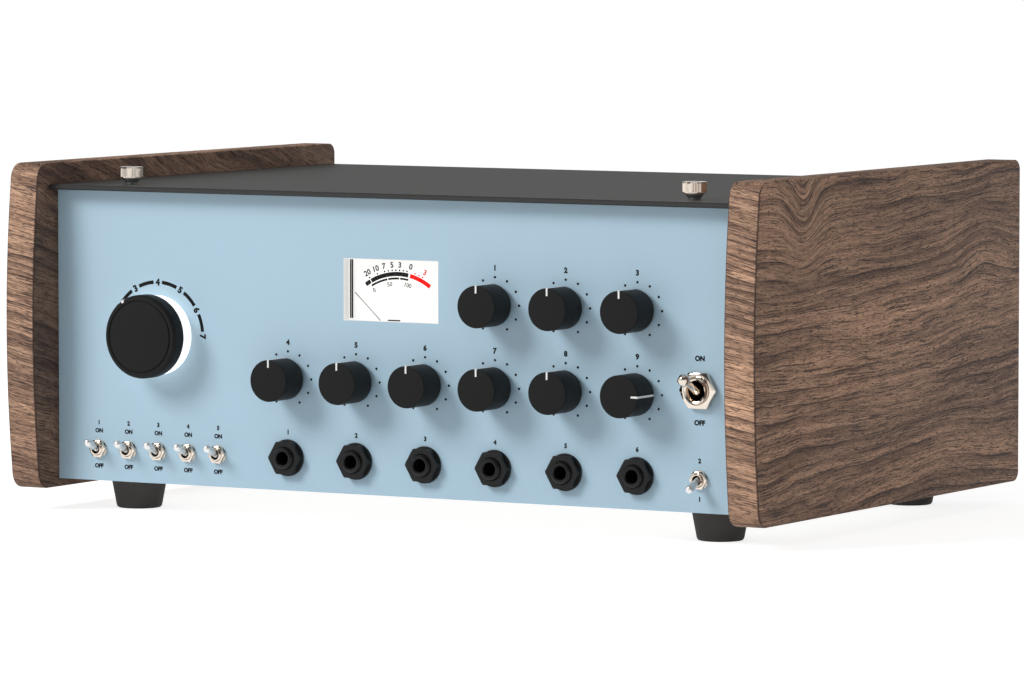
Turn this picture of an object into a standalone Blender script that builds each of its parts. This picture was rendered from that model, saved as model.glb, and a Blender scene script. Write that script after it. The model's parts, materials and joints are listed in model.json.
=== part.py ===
"""Table-top tape echo unit: walnut cheeks, painted front panel, lift-off cover and a tape deck inside.

Metres, +Z up. The front faces -Y and the origin is at floor level, under the middle of the bounding box.
"""
import math

import bmesh
import bpy
from mathutils import Matrix, Vector

# Overall case
INNER_WIDTH = 0.378
CHEEK_THICKNESS = 0.016
CHEEK_HEIGHT = 0.1585
CHEEK_FRONT_REACH = 0.0217
CHEEK_REAR_REACH = 0.261
CHEEK_BOW = 0.0044
CHEEK_FRONT_CORNER = 0.008
CHEEK_REAR_CORNER = 0.005
CHEEK_ARRIS = 0.0008
FOOT_LIFT = 0.011
CLEARANCE = 0.0003
OVERRUN = 0.002
FUSE = 0.0005

# Sheet metal
SHEET_SIDE_SLACK = 0.0003
PANEL_THICKNESS = 0.002
PANEL_LIFT = 0.0042
PANEL_HEIGHT = 0.1412
PANEL_FLANGE = 0.024
FLANGE_INSET = 0.006
REAR_FLANGE = 0.014
TRAY_THICKNESS = 0.0015
REAR_THICKNESS = 0.0015
REAR_FACE = 0.2504
COVER_THICKNESS = 0.0025
COVER_OVERHANG = 0.0085
COVER_LIP = 0.012
COVER_ARRIS = 0.0006

# Controls on the panel: places are measured from its middle and from the foot of the cheeks
COLUMN_PITCH = 0.038
FIRST_COLUMN_X = -0.0575
MAIN_ROW_Z = 0.058
TOP_ROW_Z = 0.097
JACK_ROW_Z = 0.020
TOGGLE_ROW_Z = 0.0198
TOGGLE_PITCH = 0.0171
MODE_X = -0.1312
MODE_Z = 0.0763
SWITCH_COLUMN_GAP = 0.0328
SWITCH_SIDE_ROOM = 0.012
POWER_Z = 0.061
LEVEL_Z = 0.0195

# Small knob
KNOB_RADIUS = 0.010
KNOB_STAND_OFF = 0.0022
KNOB_DEPTH = 0.016
KNOB_EDGE = 0.0005
KNOB_LINE_WIDTH = 0.001
KNOB_LINE_LENGTH = 0.0042
KNOB_LINE_DEPTH = 0.0004
SHAFT_RADIUS = 0.003
SHAFT_REACH = 0.010
KNOB_SIDES = 24
TURNED_VOLUME_DEG = 90

# Mode knob and its lit collar
MODE_RADIUS = 0.0198
MODE_COLLAR_RADIUS = 0.0193
MODE_COLLAR_BORE = 0.0095
MODE_COLLAR_DEPTH = 0.0082
MODE_KNOB_DEPTH = 0.0082
MODE_CHAMFER = 0.0011
MODE_CHAMFER_DEPTH = 0.0017
MODE_GROOVE_RADIUS = 0.0172
MODE_GROOVE_WIDTH = 0.0006
MODE_GROOVE_DEPTH = 0.0005
MODE_NOTCH_WIDTH = 0.0016
MODE_NOTCH_DEPTH = 0.0009
MODE_POINTER_DEG = -30
MODE_SIDES = 40

# Potentiometers and boards
POT_RADIUS = 0.0085
POT_DEPTH = 0.010
POT_BUSHING_RADIUS = 0.0045
SWITCH_RADIUS = 0.013
BOARD_THICKNESS = 0.0016
BOARD_EDGE = 0.014
POT_SIDES = 16

# Jack socket
JACK_WASHER_RADIUS = 0.0087
JACK_WASHER_DEPTH = 0.0012
JACK_NUT_FLATS = 0.0146
JACK_NUT_FRONT = 0.0042
JACK_BARREL_RADIUS = 0.0052
JACK_BARREL_CHAMFER = 0.001
JACK_FRONT = 0.006
JACK_BORE_RADIUS = 0.00325
JACK_BORE_DEPTH = 0.026
JACK_BODY_SIDE = 0.0165
JACK_BODY_DEPTH = 0.024
JACK_SIDES = 18

# Toggle switches
TOGGLE_NUT_FLATS = 0.008
TOGGLE_NUT_FRONT = 0.0024
TOGGLE_BUSHING_RADIUS = 0.00295
TOGGLE_BUSHING_FRONT = 0.0035
TOGGLE_BORE_RADIUS = 0.0023
TOGGLE_BORE_DEPTH = 0.0052
TOGGLE_PIVOT_DEPTH = 0.0014
TOGGLE_LEVER_ROOT = 0.0011
TOGGLE_LEVER_TIP = 0.0014
TOGGLE_LEVER_LENGTH = 0.0103
TOGGLE_LEVER_TAIL = 0.0014
TOGGLE_BODY_WIDTH = 0.008
TOGGLE_BODY_HEIGHT = 0.013
TOGGLE_BODY_DEPTH = 0.0105
TOGGLE_THROW_DEG = 24
TOGGLE_SIDES = 12

POWER_NUT_FLATS = 0.0165
POWER_NUT_FRONT = 0.0034
POWER_BUSHING_RADIUS = 0.006
POWER_BUSHING_FRONT = 0.0052
POWER_BORE_RADIUS = 0.0036
POWER_BORE_DEPTH = 0.0075
POWER_PIVOT_DEPTH = 0.0024
POWER_LEVER_ROOT = 0.0017
POWER_LEVER_NECK = 0.0012
POWER_BALL_RADIUS = 0.00255
POWER_BALL_REACH = 0.0142
POWER_LEVER_TAIL = 0.0022
POWER_BODY_WIDTH = 0.018
POWER_BODY_HEIGHT = 0.030
POWER_BODY_DEPTH = 0.025
POWER_SIDES = 20

# Meter
METER_X = -0.0003
METER_WINDOW_WIDTH = 0.0521
METER_WINDOW_HEIGHT = 0.0296
METER_WINDOW_Z = 0.1018
METER_CASE_WIDTH = 0.058
METER_CASE_HEIGHT = 0.046
METER_CASE_Z = 0.0968
METER_CASE_BACK = 0.026
METER_WALL = 0.002
METER_LENS_THICKNESS = 0.0015
METER_DIAL_DEPTH = 0.007
METER_PIVOT_Z = 0.0784
NEEDLE_LENGTH = 0.0318
NEEDLE_WIDTH = 0.0004
NEEDLE_THICKNESS = 0.0004
NEEDLE_HUB_RADIUS = 0.0014
NEEDLE_HUB_DEPTH = 0.0014
NEEDLE_REST_DEG = -47

# Feet
FOOT_TOP_RADIUS = 0.0137
FOOT_BOTTOM_RADIUS = 0.0110
FOOT_EDGE = 0.0012
FOOT_X = 0.161
FOOT_FRONT_Y = 0.029
FOOT_REAR_Y = 0.229
FOOT_SIDES = 20

# Thumbscrews
SCREW_X = 0.155
SCREW_Y = 0.0137
SCREW_HEAD_RADIUS = 0.00575
SCREW_HEAD_HEIGHT = 0.0054
SCREW_HEAD_EDGE = 0.0004
SCREW_NECK_RADIUS = 0.0036
SCREW_NECK_FOOT_RADIUS = 0.0049
SCREW_NECK_HEIGHT = 0.003
SCREW_SHANK_RADIUS = 0.0019
SCREW_SHANK_LENGTH = 0.008
SCREW_SLOT_WIDTH = 0.0012
SCREW_SLOT_DEPTH = 0.0012
SCREW_SIDES = 24

# Tape deck: heights are measured from the foot of the cheeks, depths from the front of the panel
DECK_TOP = 0.100
DECK_THICKNESS = 0.002
DECK_FRONT_Y = 0.040
DECK_REAR_MARGIN = 0.004
DECK_FLANGE = 0.014
BIN_HALF_WIDTH = 0.166
BIN_SIDE_ROOM = 0.012
BIN_FRONT_Y = 0.112
BIN_REAR_Y = 0.238
BIN_FLOOR_THICKNESS = 0.0027
BIN_WALL = 0.002
BIN_WALL_HEIGHT = 0.014
BIN_GATE = 0.016
TAPE_WIDTH = 0.0063
TAPE_THICKNESS = 0.0005
TAPE_LINE_Y = 0.074
TAPE_TURN_RADIUS = 0.0045
TAPE_PASSES = 20
TAPE_BIN_MARGIN = 0.010
TAPE_ARC_STEPS = 5
GUIDE_HEIGHT = 0.014

CAPSTAN_X = 0.118
CAPSTAN_RADIUS = 0.0025
CAPSTAN_TOP = 0.018
BEARING_RADIUS = 0.0055
BEARING_DROP = 0.006
FLYWHEEL_RADIUS = 0.032
FLYWHEEL_THICKNESS = 0.011
FLYWHEEL_TOP_DROP = 0.008
FLYWHEEL_HUB_RADIUS = 0.008
FLYWHEEL_WEB_RECESS = 0.003
FLYWHEEL_RIM = 0.007
FLYWHEEL_SIDES = 32

MOTOR_X = 0.046
MOTOR_Y = 0.086
MOTOR_RADIUS = 0.018
MOTOR_HEIGHT = 0.034
MOTOR_SHAFT_RADIUS = 0.001
MOTOR_EDGE = 0.0015
MOTOR_PILLAR_RADIUS = 0.002
MOTOR_PILLAR_CIRCLE = 0.0145
PULLEY_RADIUS = 0.0065
PULLEY_FLANGE = 0.0012
PULLEY_RIM = 0.0012
BELT_HEIGHT = 0.005
BELT_THICKNESS = 0.001
BELT_ARC_STEPS = 14

ARM_PIVOT_X = 0.150
ARM_PIVOT_Y = 0.058
ARM_THICKNESS = 0.002
ARM_HALF_WIDTH = 0.005
ARM_POST_RADIUS = 0.002
ROLLER_RADIUS = 0.009
ROLLER_HEIGHT = 0.010
ROLLER_SIDES = 20
ARM_SIDES = 12

HEAD_COUNT = 5
HEAD_PITCH = 0.028
HEAD_CENTRE_X = -0.010
HEAD_WIDTH = 0.011
HEAD_DEPTH = 0.012
HEAD_HEIGHT = 0.0095
HEAD_NOSE_RADIUS = 0.007
HEAD_PLATE_MARGIN = 0.010
HEAD_PLATE_THICKNESS = 0.002
HEAD_PLATE_SETBACK = 0.0025

# Pieces on the floor of the tray
MAIN_BOARD_SIZE = (0.280, 0.080)
MAIN_BOARD_CENTRE = (-0.030, 0.088)
MAIN_BOARD_STAND = 0.008
STAND_RADIUS = 0.003
STAND_INSET = 0.008
CAPACITOR_RADIUS = 0.008
CAPACITOR_HEIGHT = 0.022
CAPACITOR_COUNT = 4
CAPACITOR_PITCH = 0.024
TRANSFORMER_CORE = (0.052, 0.030, 0.044)
TRANSFORMER_COIL = (0.036, 0.044, 0.028)
TRANSFORMER_CENTRE = (0.140, 0.200)
TRANSFORMER_FOOT_THICKNESS = 0.002
TRANSFORMER_FOOT_MARGIN = 0.010
TANK_SIZE = (0.236, 0.104, 0.034)
TANK_CENTRE = (-0.062, 0.190)
TANK_RIM = 0.005
TANK_WALL = 0.001
TANK_PAD_HEIGHT = 0.004
TANK_PAD_RADIUS = 0.006

# Mains inlet on the rear panel
INLET_X = -0.140
INLET_Z = 0.062
INLET_FLANGE = (0.050, 0.028)
INLET_FLANGE_THICKNESS = 0.0025
INLET_BODY = (0.0275, 0.0200)
INLET_BODY_DEPTH = 0.022
INLET_RECESS = (0.0240, 0.0162)
INLET_RECESS_DEPTH = 0.018
INLET_PIN = (0.002, 0.004)
INLET_PIN_LENGTH = 0.0125
INLET_PIN_PITCH = 0.007
INLET_PIN_RISE = 0.002

# Names of the controls, from left to right
TOP_ROW_KNOBS = ("bass_knob", "treble_knob", "feedback_knob")
MAIN_ROW_KNOBS = ("input_volume_knob", "chorus_rate_knob", "chorus_depth_knob",
                  "reverb_volume_knob", "speed_knob", "echo_volume_knob")
JACKS = ("input_jack", "speed_remote_jack", "feedback_remote_jack",
         "chorus_footswitch_jack", "echo_footswitch_jack", "output_jack")
TOGGLES = ("direct_switch", "motor_switch", "sound_on_sound_switch", "echo_switch", "chorus_switch")

# Places worked out from the sizes above
POWER_X = FIRST_COLUMN_X + (len(MAIN_ROW_KNOBS) - 1) * COLUMN_PITCH + SWITCH_COLUMN_GAP
LEVEL_X = POWER_X
WALL_ROOM = SHEET_SIDE_SLACK + TRAY_THICKNESS + CLEARANCE
DECK_HALF_ROOM = BIN_HALF_WIDTH + BIN_SIDE_ROOM + DECK_THICKNESS + WALL_ROOM
TANK_HALF_ROOM = TANK_SIZE[0] / 2 + TANK_RIM - TANK_CENTRE[0] + WALL_ROOM
SWITCH_HALF_ROOM = POWER_X + SWITCH_SIDE_ROOM + WALL_ROOM
CHEEK_INNER_X = max(INNER_WIDTH / 2, DECK_HALF_ROOM, TANK_HALF_ROOM, SWITCH_HALF_ROOM)
SHEET_HALF_WIDTH = CHEEK_INNER_X - SHEET_SIDE_SLACK
PANEL_Y = CHEEK_FRONT_REACH - (CHEEK_FRONT_REACH + CHEEK_REAR_REACH) / 2
PANEL_BACK_Y = PANEL_Y + PANEL_THICKNESS
SEAT_Y = PANEL_BACK_Y + CLEARANCE
BASE_Z = FOOT_LIFT
TRAY_BOTTOM_Z = BASE_Z + PANEL_LIFT
TRAY_FLOOR_Z = TRAY_BOTTOM_Z + TRAY_THICKNESS
CASE_TOP_Z = TRAY_BOTTOM_Z + PANEL_HEIGHT
COVER_BOTTOM_Z = CASE_TOP_Z + CLEARANCE
COVER_TOP_Z = COVER_BOTTOM_Z + COVER_THICKNESS
REAR_Y = PANEL_Y + REAR_FACE
DECK_TOP_Z = BASE_Z + DECK_TOP
TAPE_Z = DECK_TOP_Z + BIN_FLOOR_THICKNESS + CLEARANCE
TAPE_Y = PANEL_Y + TAPE_LINE_Y
CAPSTAN_Y = TAPE_Y + TAPE_THICKNESS / 2 + CLEARANCE + CAPSTAN_RADIUS
ROLLER_X = CAPSTAN_X
ROLLER_Y = TAPE_Y - TAPE_THICKNESS / 2 - CLEARANCE - ROLLER_RADIUS
FLYWHEEL_TOP_Z = DECK_TOP_Z - DECK_THICKNESS - FLYWHEEL_TOP_DROP
FLYWHEEL_MIDDLE_Z = FLYWHEEL_TOP_Z - FLYWHEEL_THICKNESS / 2

# Finishes: colour, roughness, metallic
BLUE_PAINT = ((0.43, 0.60, 0.74), 0.55, 0.0)
CHARCOAL_PAINT = ((0.10, 0.10, 0.10), 0.55, 0.0)
WALNUT = ((0.16, 0.09, 0.06), 0.60, 0.0)
BLACK_PLASTIC = ((0.03, 0.03, 0.03), 0.50, 0.0)
WHITE_PLASTIC = ((0.90, 0.90, 0.88), 0.40, 0.0)
CLEAR_PLASTIC = ((0.90, 0.92, 0.94), 0.05, 0.0)
RUBBER = ((0.045, 0.043, 0.04), 0.80, 0.0)
NICKEL = ((0.76, 0.72, 0.67), 0.22, 1.0)
STEEL = ((0.55, 0.55, 0.55), 0.40, 1.0)
ZINC = ((0.62, 0.62, 0.60), 0.45, 1.0)
BRASS = ((0.70, 0.52, 0.25), 0.35, 1.0)
GREEN_BOARD = ((0.03, 0.18, 0.08), 0.45, 0.0)
TAPE_BROWN = ((0.10, 0.05, 0.03), 0.30, 0.0)

PART = "tape_echo_unit"
TOOLS = "tools"
UPRIGHT = (0, 0, 0)
# A shape drawn flat then faces sideways: its first axis runs rearwards and its second one up
SIDEWAYS = Matrix(((0, 0, 1), (1, 0, 0), (0, 1, 0))).to_euler()
MERGE = 0.00001
CHEEK_CORNER_STEPS = 4
CHEEK_BOW_STEPS = 10
MOTOR_PILLAR_TURNS_DEG = (90, 180, 270)


# Scene and helpers

def clear_scene():
    for old in list(bpy.data.objects):
        bpy.data.objects.remove(old, do_unlink=True)


def new_collection(name):
    collection = bpy.data.collections.new(name)
    bpy.context.scene.collection.children.link(collection)


def make_finish(name, finish):
    colour, roughness, metallic = finish
    material = bpy.data.materials.new(name)
    material.use_nodes = True
    shader = material.node_tree.nodes["Principled BSDF"]
    shader.inputs["Base Color"].default_value = (*colour, 1)
    shader.inputs["Roughness"].default_value = roughness
    shader.inputs["Metallic"].default_value = metallic
    return material


def place(name, mesh, location, rotation, finish):
    """Put a finished piece in the part's collection."""
    item = bpy.data.objects.new(name, mesh)
    item.location = location
    item.rotation_euler = rotation
    bpy.data.collections[PART].objects.link(item)
    if not mesh.materials:
        mesh.materials.append(make_finish(name + " finish", finish))
    return item


def tool(name, mesh, location=(0, 0, 0), rotation=UPRIGHT):
    """Put a shape that cuts or joins a piece among the tools, where it isn't part of the model."""
    item = bpy.data.objects.new(name, mesh)
    item.location = location
    item.rotation_euler = rotation
    item.hide_render = True
    item.display_type = 'WIRE'
    bpy.data.collections[TOOLS].objects.link(item)
    return item


def boolean(target, other, operation='DIFFERENCE'):
    modifier = target.modifiers.new(operation.lower() + " " + other.name, 'BOOLEAN')
    modifier.operation = operation
    modifier.solver = 'EXACT'
    modifier.object = other


def bevel(target, width, segments=1, angle_deg=50):
    modifier = target.modifiers.new("rounded edges", 'BEVEL')
    modifier.width = width
    modifier.segments = segments
    modifier.limit_method = 'ANGLE'
    modifier.angle_limit = math.radians(angle_deg)


def settled_mesh(item):
    """The item's mesh with its modifiers applied; the item itself is removed."""
    graph = bpy.context.evaluated_depsgraph_get()
    mesh = bpy.data.meshes.new_from_object(item.evaluated_get(graph))
    mesh.name = item.name
    bpy.data.objects.remove(item, do_unlink=True)
    return mesh


def smooth(mesh, angle_deg=35):
    mesh.shade_smooth()
    mesh.set_sharp_from_angle(angle=math.radians(angle_deg))
    return mesh


def mesh_from(bm, name):
    mesh = bpy.data.meshes.new(name)
    bmesh.ops.recalc_face_normals(bm, faces=bm.faces)
    bm.to_mesh(mesh)
    bm.free()
    return mesh


def add_box(bm, size, centre):
    matrix = Matrix.Translation(centre) @ Matrix.Diagonal((*size, 1))
    bmesh.ops.create_cube(bm, size=1, matrix=matrix)


def add_span(bm, low, high):
    """A box given by its lowest and highest corners."""
    low = Vector(low)
    high = Vector(high)
    add_box(bm, high - low, (low + high) / 2)


def add_rod(bm, radius, low, high, x, y, sides):
    """An upright closed cylinder between two heights."""
    matrix = Matrix.Translation((x, y, (low + high) / 2))
    bmesh.ops.create_cone(bm, cap_ends=True, segments=sides, radius1=radius, radius2=radius,
                          depth=high - low, matrix=matrix)


def add_bore(bm, radius, x, z, sides, length=PANEL_THICKNESS + 2 * OVERRUN):
    """A cylinder through the front panel at a place on it."""
    matrix = Matrix.Translation((x, PANEL_Y + PANEL_THICKNESS / 2, BASE_Z + z))
    matrix = matrix @ Matrix.Rotation(math.pi / 2, 4, 'X')
    bmesh.ops.create_cone(bm, cap_ends=True, segments=sides, radius1=radius, radius2=radius,
                          depth=length, matrix=matrix)


def boxes_mesh(name, spans):
    bm = bmesh.new()
    for low, high in spans:
        add_span(bm, low, high)
    return mesh_from(bm, name)


def rods_mesh(name, radius, low, high, places, sides):
    bm = bmesh.new()
    for x, y in places:
        add_rod(bm, radius, low, high, x, y, sides)
    return mesh_from(bm, name)


def turned_mesh(name, profile, sides, closed=False):
    """Turn (radius, height) points, given from the top down the outer side, about Z."""
    bm = bmesh.new()
    points = [bm.verts.new((radius, 0, height)) for radius, height in profile]
    pairs = list(zip(points, points[1:]))
    if closed:
        pairs.append((points[-1], points[0]))
    for pair in pairs:
        bm.edges.new(pair)
    mesh = bpy.data.meshes.new(name)
    bm.to_mesh(mesh)
    bm.free()
    item = tool(name, mesh)
    screw = item.modifiers.new("turned", 'SCREW')
    screw.steps = sides
    screw.render_steps = sides
    screw.use_merge_vertices = True
    screw.merge_threshold = MERGE
    return smooth(settled_mesh(item))


def outline_mesh(name, loops, thickness):
    """A flat plate from closed loops of (x, y) points, centred on its own XY plane."""
    curve = bpy.data.curves.new(name, 'CURVE')
    curve.dimensions = '2D'
    curve.fill_mode = 'BOTH'
    curve.extrude = thickness / 2
    for points in loops:
        spline = curve.splines.new('POLY')
        spline.points.add(len(points) - 1)
        for point, (x, y) in zip(spline.points, points):
            point.co = (x, y, 0, 1)
        spline.use_cyclic_u = True
    mesh = settled_mesh(tool(name, curve))
    bm = bmesh.new()
    bm.from_mesh(mesh)
    bmesh.ops.remove_doubles(bm, verts=bm.verts, dist=MERGE)
    bpy.data.meshes.remove(mesh)
    return mesh_from(bm, name)


def arc(centre, radius, start_deg, end_deg, steps):
    """Points along an arc, both ends included; angles run anticlockwise from the first axis."""
    points = []
    for index in range(steps + 1):
        angle = math.radians(start_deg + (end_deg - start_deg) * index / steps)
        points.append((centre[0] + radius * math.cos(angle), centre[1] + radius * math.sin(angle)))
    return points


def sheet_mesh(name, path, run, thickness):
    """Sheet metal: a surface along the middle of the sheet, swept by a run and given its thickness."""
    bm = bmesh.new()
    first = [bm.verts.new(point) for point in path]
    edges = [bm.edges.new(pair) for pair in zip(first, first[1:])]
    swept = bmesh.ops.extrude_edge_only(bm, edges=edges)
    moved = [item for item in swept["geom"] if isinstance(item, bmesh.types.BMVert)]
    bmesh.ops.translate(bm, verts=moved, vec=run)
    item = tool(name, mesh_from(bm, name))
    solid = item.modifiers.new("sheet thickness", 'SOLIDIFY')
    solid.thickness = thickness
    solid.offset = 0
    solid.use_even_offset = True
    return settled_mesh(item)


def nut_mesh(name, flats, front, back):
    """A hexagonal nut on the Z axis with two of its flats at top and bottom."""
    bm = bmesh.new()
    corner = flats / math.sqrt(3)
    matrix = Matrix.Translation((0, 0, (front + back) / 2)) @ Matrix.Rotation(math.pi / 6, 4, 'Z')
    bmesh.ops.create_cone(bm, cap_ends=True, segments=6, radius1=corner, radius2=corner,
                          depth=front - back, matrix=matrix)
    return mesh_from(bm, name)


def facing_front(clockwise_deg=0):
    """Turn a shape so that its +Z faces the front, then turn it clockwise as seen from there."""
    return (math.pi / 2, math.radians(clockwise_deg), 0)


def on_panel(x, z):
    """The place on the front of the panel that a control is centred on."""
    return (x, PANEL_Y, BASE_Z + z)


def knob_places():
    """Each small knob's name, with its place on the panel."""
    top = [(name, FIRST_COLUMN_X + (index + len(MAIN_ROW_KNOBS) - len(TOP_ROW_KNOBS)) * COLUMN_PITCH,
            TOP_ROW_Z) for index, name in enumerate(TOP_ROW_KNOBS)]
    main = [(name, FIRST_COLUMN_X + index * COLUMN_PITCH, MAIN_ROW_Z)
            for index, name in enumerate(MAIN_ROW_KNOBS)]
    return top + main


def jack_places():
    return [(name, FIRST_COLUMN_X + index * COLUMN_PITCH, JACK_ROW_Z)
            for index, name in enumerate(JACKS)]


def toggle_places():
    """The small toggle switches: name, place, and whether the lever is up."""
    middle = (len(TOGGLES) - 1) / 2
    row = [(name, MODE_X + (index - middle) * TOGGLE_PITCH, TOGGLE_ROW_Z, True)
           for index, name in enumerate(TOGGLES)]
    return row + [("output_level_switch", LEVEL_X, LEVEL_Z, False)]


# Case

def cheek_outline():
    """The side view of a wooden cheek: (depth, height) points from the bottom rear corner."""
    top = CHEEK_HEIGHT
    front = -CHEEK_FRONT_REACH + CHEEK_BOW
    rear = CHEEK_REAR_REACH
    near = CHEEK_FRONT_CORNER
    far = CHEEK_REAR_CORNER
    chord = top - 2 * near
    bow_radius = (chord / 2) ** 2 / (2 * CHEEK_BOW) + CHEEK_BOW / 2
    bow_deg = math.degrees(math.asin(chord / 2 / bow_radius))
    bow_centre = (-CHEEK_FRONT_REACH + bow_radius, top / 2)
    points = arc((rear - far, far), far, -90, 0, CHEEK_CORNER_STEPS)
    points += arc((rear - far, top - far), far, 0, 90, CHEEK_CORNER_STEPS)
    points += arc((front + near, top - near), near, 90, 180 - bow_deg, CHEEK_CORNER_STEPS)
    points += arc(bow_centre, bow_radius, 180 - bow_deg, 180 + bow_deg, CHEEK_BOW_STEPS)[1:-1]
    points += arc((front + near, near), near, 180 + bow_deg, 270, CHEEK_CORNER_STEPS)
    return points


def make_cheeks():
    for name, side in (("left_cheek", -1), ("right_cheek", 1)):
        mesh = outline_mesh(name, [cheek_outline()], CHEEK_THICKNESS)
        x = side * (CHEEK_INNER_X + CHEEK_THICKNESS / 2)
        cheek = place(name, mesh, (x, PANEL_Y, BASE_Z), SIDEWAYS, WALNUT)
        bevel(cheek, CHEEK_ARRIS)


def flange_notches(name, low_y, high_y):
    """Boxes that shorten a top flange at both ends, to clear the side walls of the tray."""
    inner = SHEET_HALF_WIDTH - FLANGE_INSET
    outer = SHEET_HALF_WIDTH + OVERRUN
    low_z = CASE_TOP_Z - FLANGE_INSET
    high_z = CASE_TOP_Z + OVERRUN
    spans = [((inner, low_y, low_z), (outer, high_y, high_z)),
             ((-outer, low_y, low_z), (-inner, high_y, high_z))]
    return tool(name, boxes_mesh(name, spans))


def panel_holes():
    """One mesh with every round hole of the front panel."""
    bm = bmesh.new()
    for _, x, z in knob_places():
        add_bore(bm, POT_BUSHING_RADIUS + CLEARANCE, x, z, POT_SIDES)
    add_bore(bm, POT_BUSHING_RADIUS + CLEARANCE, MODE_X, MODE_Z, POT_SIDES)
    for _, x, z in jack_places():
        add_bore(bm, JACK_BARREL_RADIUS + CLEARANCE, x, z, JACK_SIDES)
    for _, x, z, _ in toggle_places():
        add_bore(bm, TOGGLE_BUSHING_RADIUS + CLEARANCE, x, z, TOGGLE_SIDES)
    add_bore(bm, POWER_BUSHING_RADIUS + CLEARANCE, POWER_X, POWER_Z, POWER_SIDES)
    return tool("panel holes", mesh_from(bm, "panel holes"))


def meter_window():
    low_z = BASE_Z + METER_WINDOW_Z - METER_WINDOW_HEIGHT / 2
    low = (METER_X - METER_WINDOW_WIDTH / 2, PANEL_Y - OVERRUN, low_z)
    high = (METER_X + METER_WINDOW_WIDTH / 2, PANEL_BACK_Y + OVERRUN, low_z + METER_WINDOW_HEIGHT)
    return tool("meter window", boxes_mesh("meter window", [(low, high)]))


def screw_holes():
    """Upright holes through the cover and the flange below it."""
    places = [(-SCREW_X, PANEL_Y + SCREW_Y), (SCREW_X, PANEL_Y + SCREW_Y)]
    low = CASE_TOP_Z - PANEL_THICKNESS - OVERRUN
    mesh = rods_mesh("screw holes", SCREW_SHANK_RADIUS + CLEARANCE, low, COVER_TOP_Z + OVERRUN,
                     places, TOGGLE_SIDES)
    return tool("screw holes", mesh)


def make_front_panel(holes):
    middle_y = PANEL_Y + PANEL_THICKNESS / 2
    fold_z = CASE_TOP_Z - PANEL_THICKNESS / 2
    path = [(-SHEET_HALF_WIDTH, middle_y, TRAY_BOTTOM_Z), (-SHEET_HALF_WIDTH, middle_y, fold_z),
            (-SHEET_HALF_WIDTH, PANEL_Y + PANEL_FLANGE, fold_z)]
    mesh = sheet_mesh("front_panel", path, (2 * SHEET_HALF_WIDTH, 0, 0), PANEL_THICKNESS)
    panel = place("front_panel", mesh, (0, 0, 0), UPRIGHT, BLUE_PAINT)
    boolean(panel, flange_notches("panel notches", PANEL_BACK_Y, PANEL_Y + PANEL_FLANGE + OVERRUN))
    boolean(panel, panel_holes())
    boolean(panel, meter_window())
    boolean(panel, holes)


def make_tray():
    wall_x = SHEET_HALF_WIDTH - TRAY_THICKNESS / 2
    floor_z = TRAY_BOTTOM_Z + TRAY_THICKNESS / 2
    run = REAR_Y - REAR_THICKNESS - CLEARANCE - SEAT_Y
    path = [(-wall_x, SEAT_Y, CASE_TOP_Z), (-wall_x, SEAT_Y, floor_z),
            (wall_x, SEAT_Y, floor_z), (wall_x, SEAT_Y, CASE_TOP_Z)]
    mesh = sheet_mesh("chassis_tray", path, (0, run, 0), TRAY_THICKNESS)
    place("chassis_tray", mesh, (0, 0, 0), UPRIGHT, ZINC)


def make_rear_panel():
    middle_y = REAR_Y - REAR_THICKNESS / 2
    fold_z = CASE_TOP_Z - REAR_THICKNESS / 2
    path = [(-SHEET_HALF_WIDTH, middle_y, TRAY_BOTTOM_Z), (-SHEET_HALF_WIDTH, middle_y, fold_z),
            (-SHEET_HALF_WIDTH, REAR_Y - REAR_FLANGE, fold_z)]
    mesh = sheet_mesh("rear_panel", path, (2 * SHEET_HALF_WIDTH, 0, 0), REAR_THICKNESS)
    rear = place("rear_panel", mesh, (0, 0, 0), UPRIGHT, CHARCOAL_PAINT)
    inner_y = REAR_Y - REAR_THICKNESS
    boolean(rear, flange_notches("rear notches", REAR_Y - REAR_FLANGE - OVERRUN, inner_y))
    half_x = INLET_BODY[0] / 2 + CLEARANCE
    half_z = INLET_BODY[1] / 2 + CLEARANCE
    middle_z = BASE_Z + INLET_Z
    low = (INLET_X - half_x, inner_y - OVERRUN, middle_z - half_z)
    high = (INLET_X + half_x, REAR_Y + OVERRUN, middle_z + half_z)
    boolean(rear, tool("inlet cut-out", boxes_mesh("inlet cut-out", [(low, high)])))


def make_cover(holes):
    middle_z = COVER_BOTTOM_Z + COVER_THICKNESS / 2
    lip_y = REAR_Y + CLEARANCE + COVER_THICKNESS / 2
    path = [(-SHEET_HALF_WIDTH, PANEL_Y - COVER_OVERHANG, middle_z),
            (-SHEET_HALF_WIDTH, lip_y, middle_z),
            (-SHEET_HALF_WIDTH, lip_y, COVER_BOTTOM_Z - COVER_LIP)]
    mesh = sheet_mesh("top_cover", path, (2 * SHEET_HALF_WIDTH, 0, 0), COVER_THICKNESS)
    cover = place("top_cover", mesh, (0, 0, 0), UPRIGHT, CHARCOAL_PAINT)
    bevel(cover, COVER_ARRIS)
    boolean(cover, holes)


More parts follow.
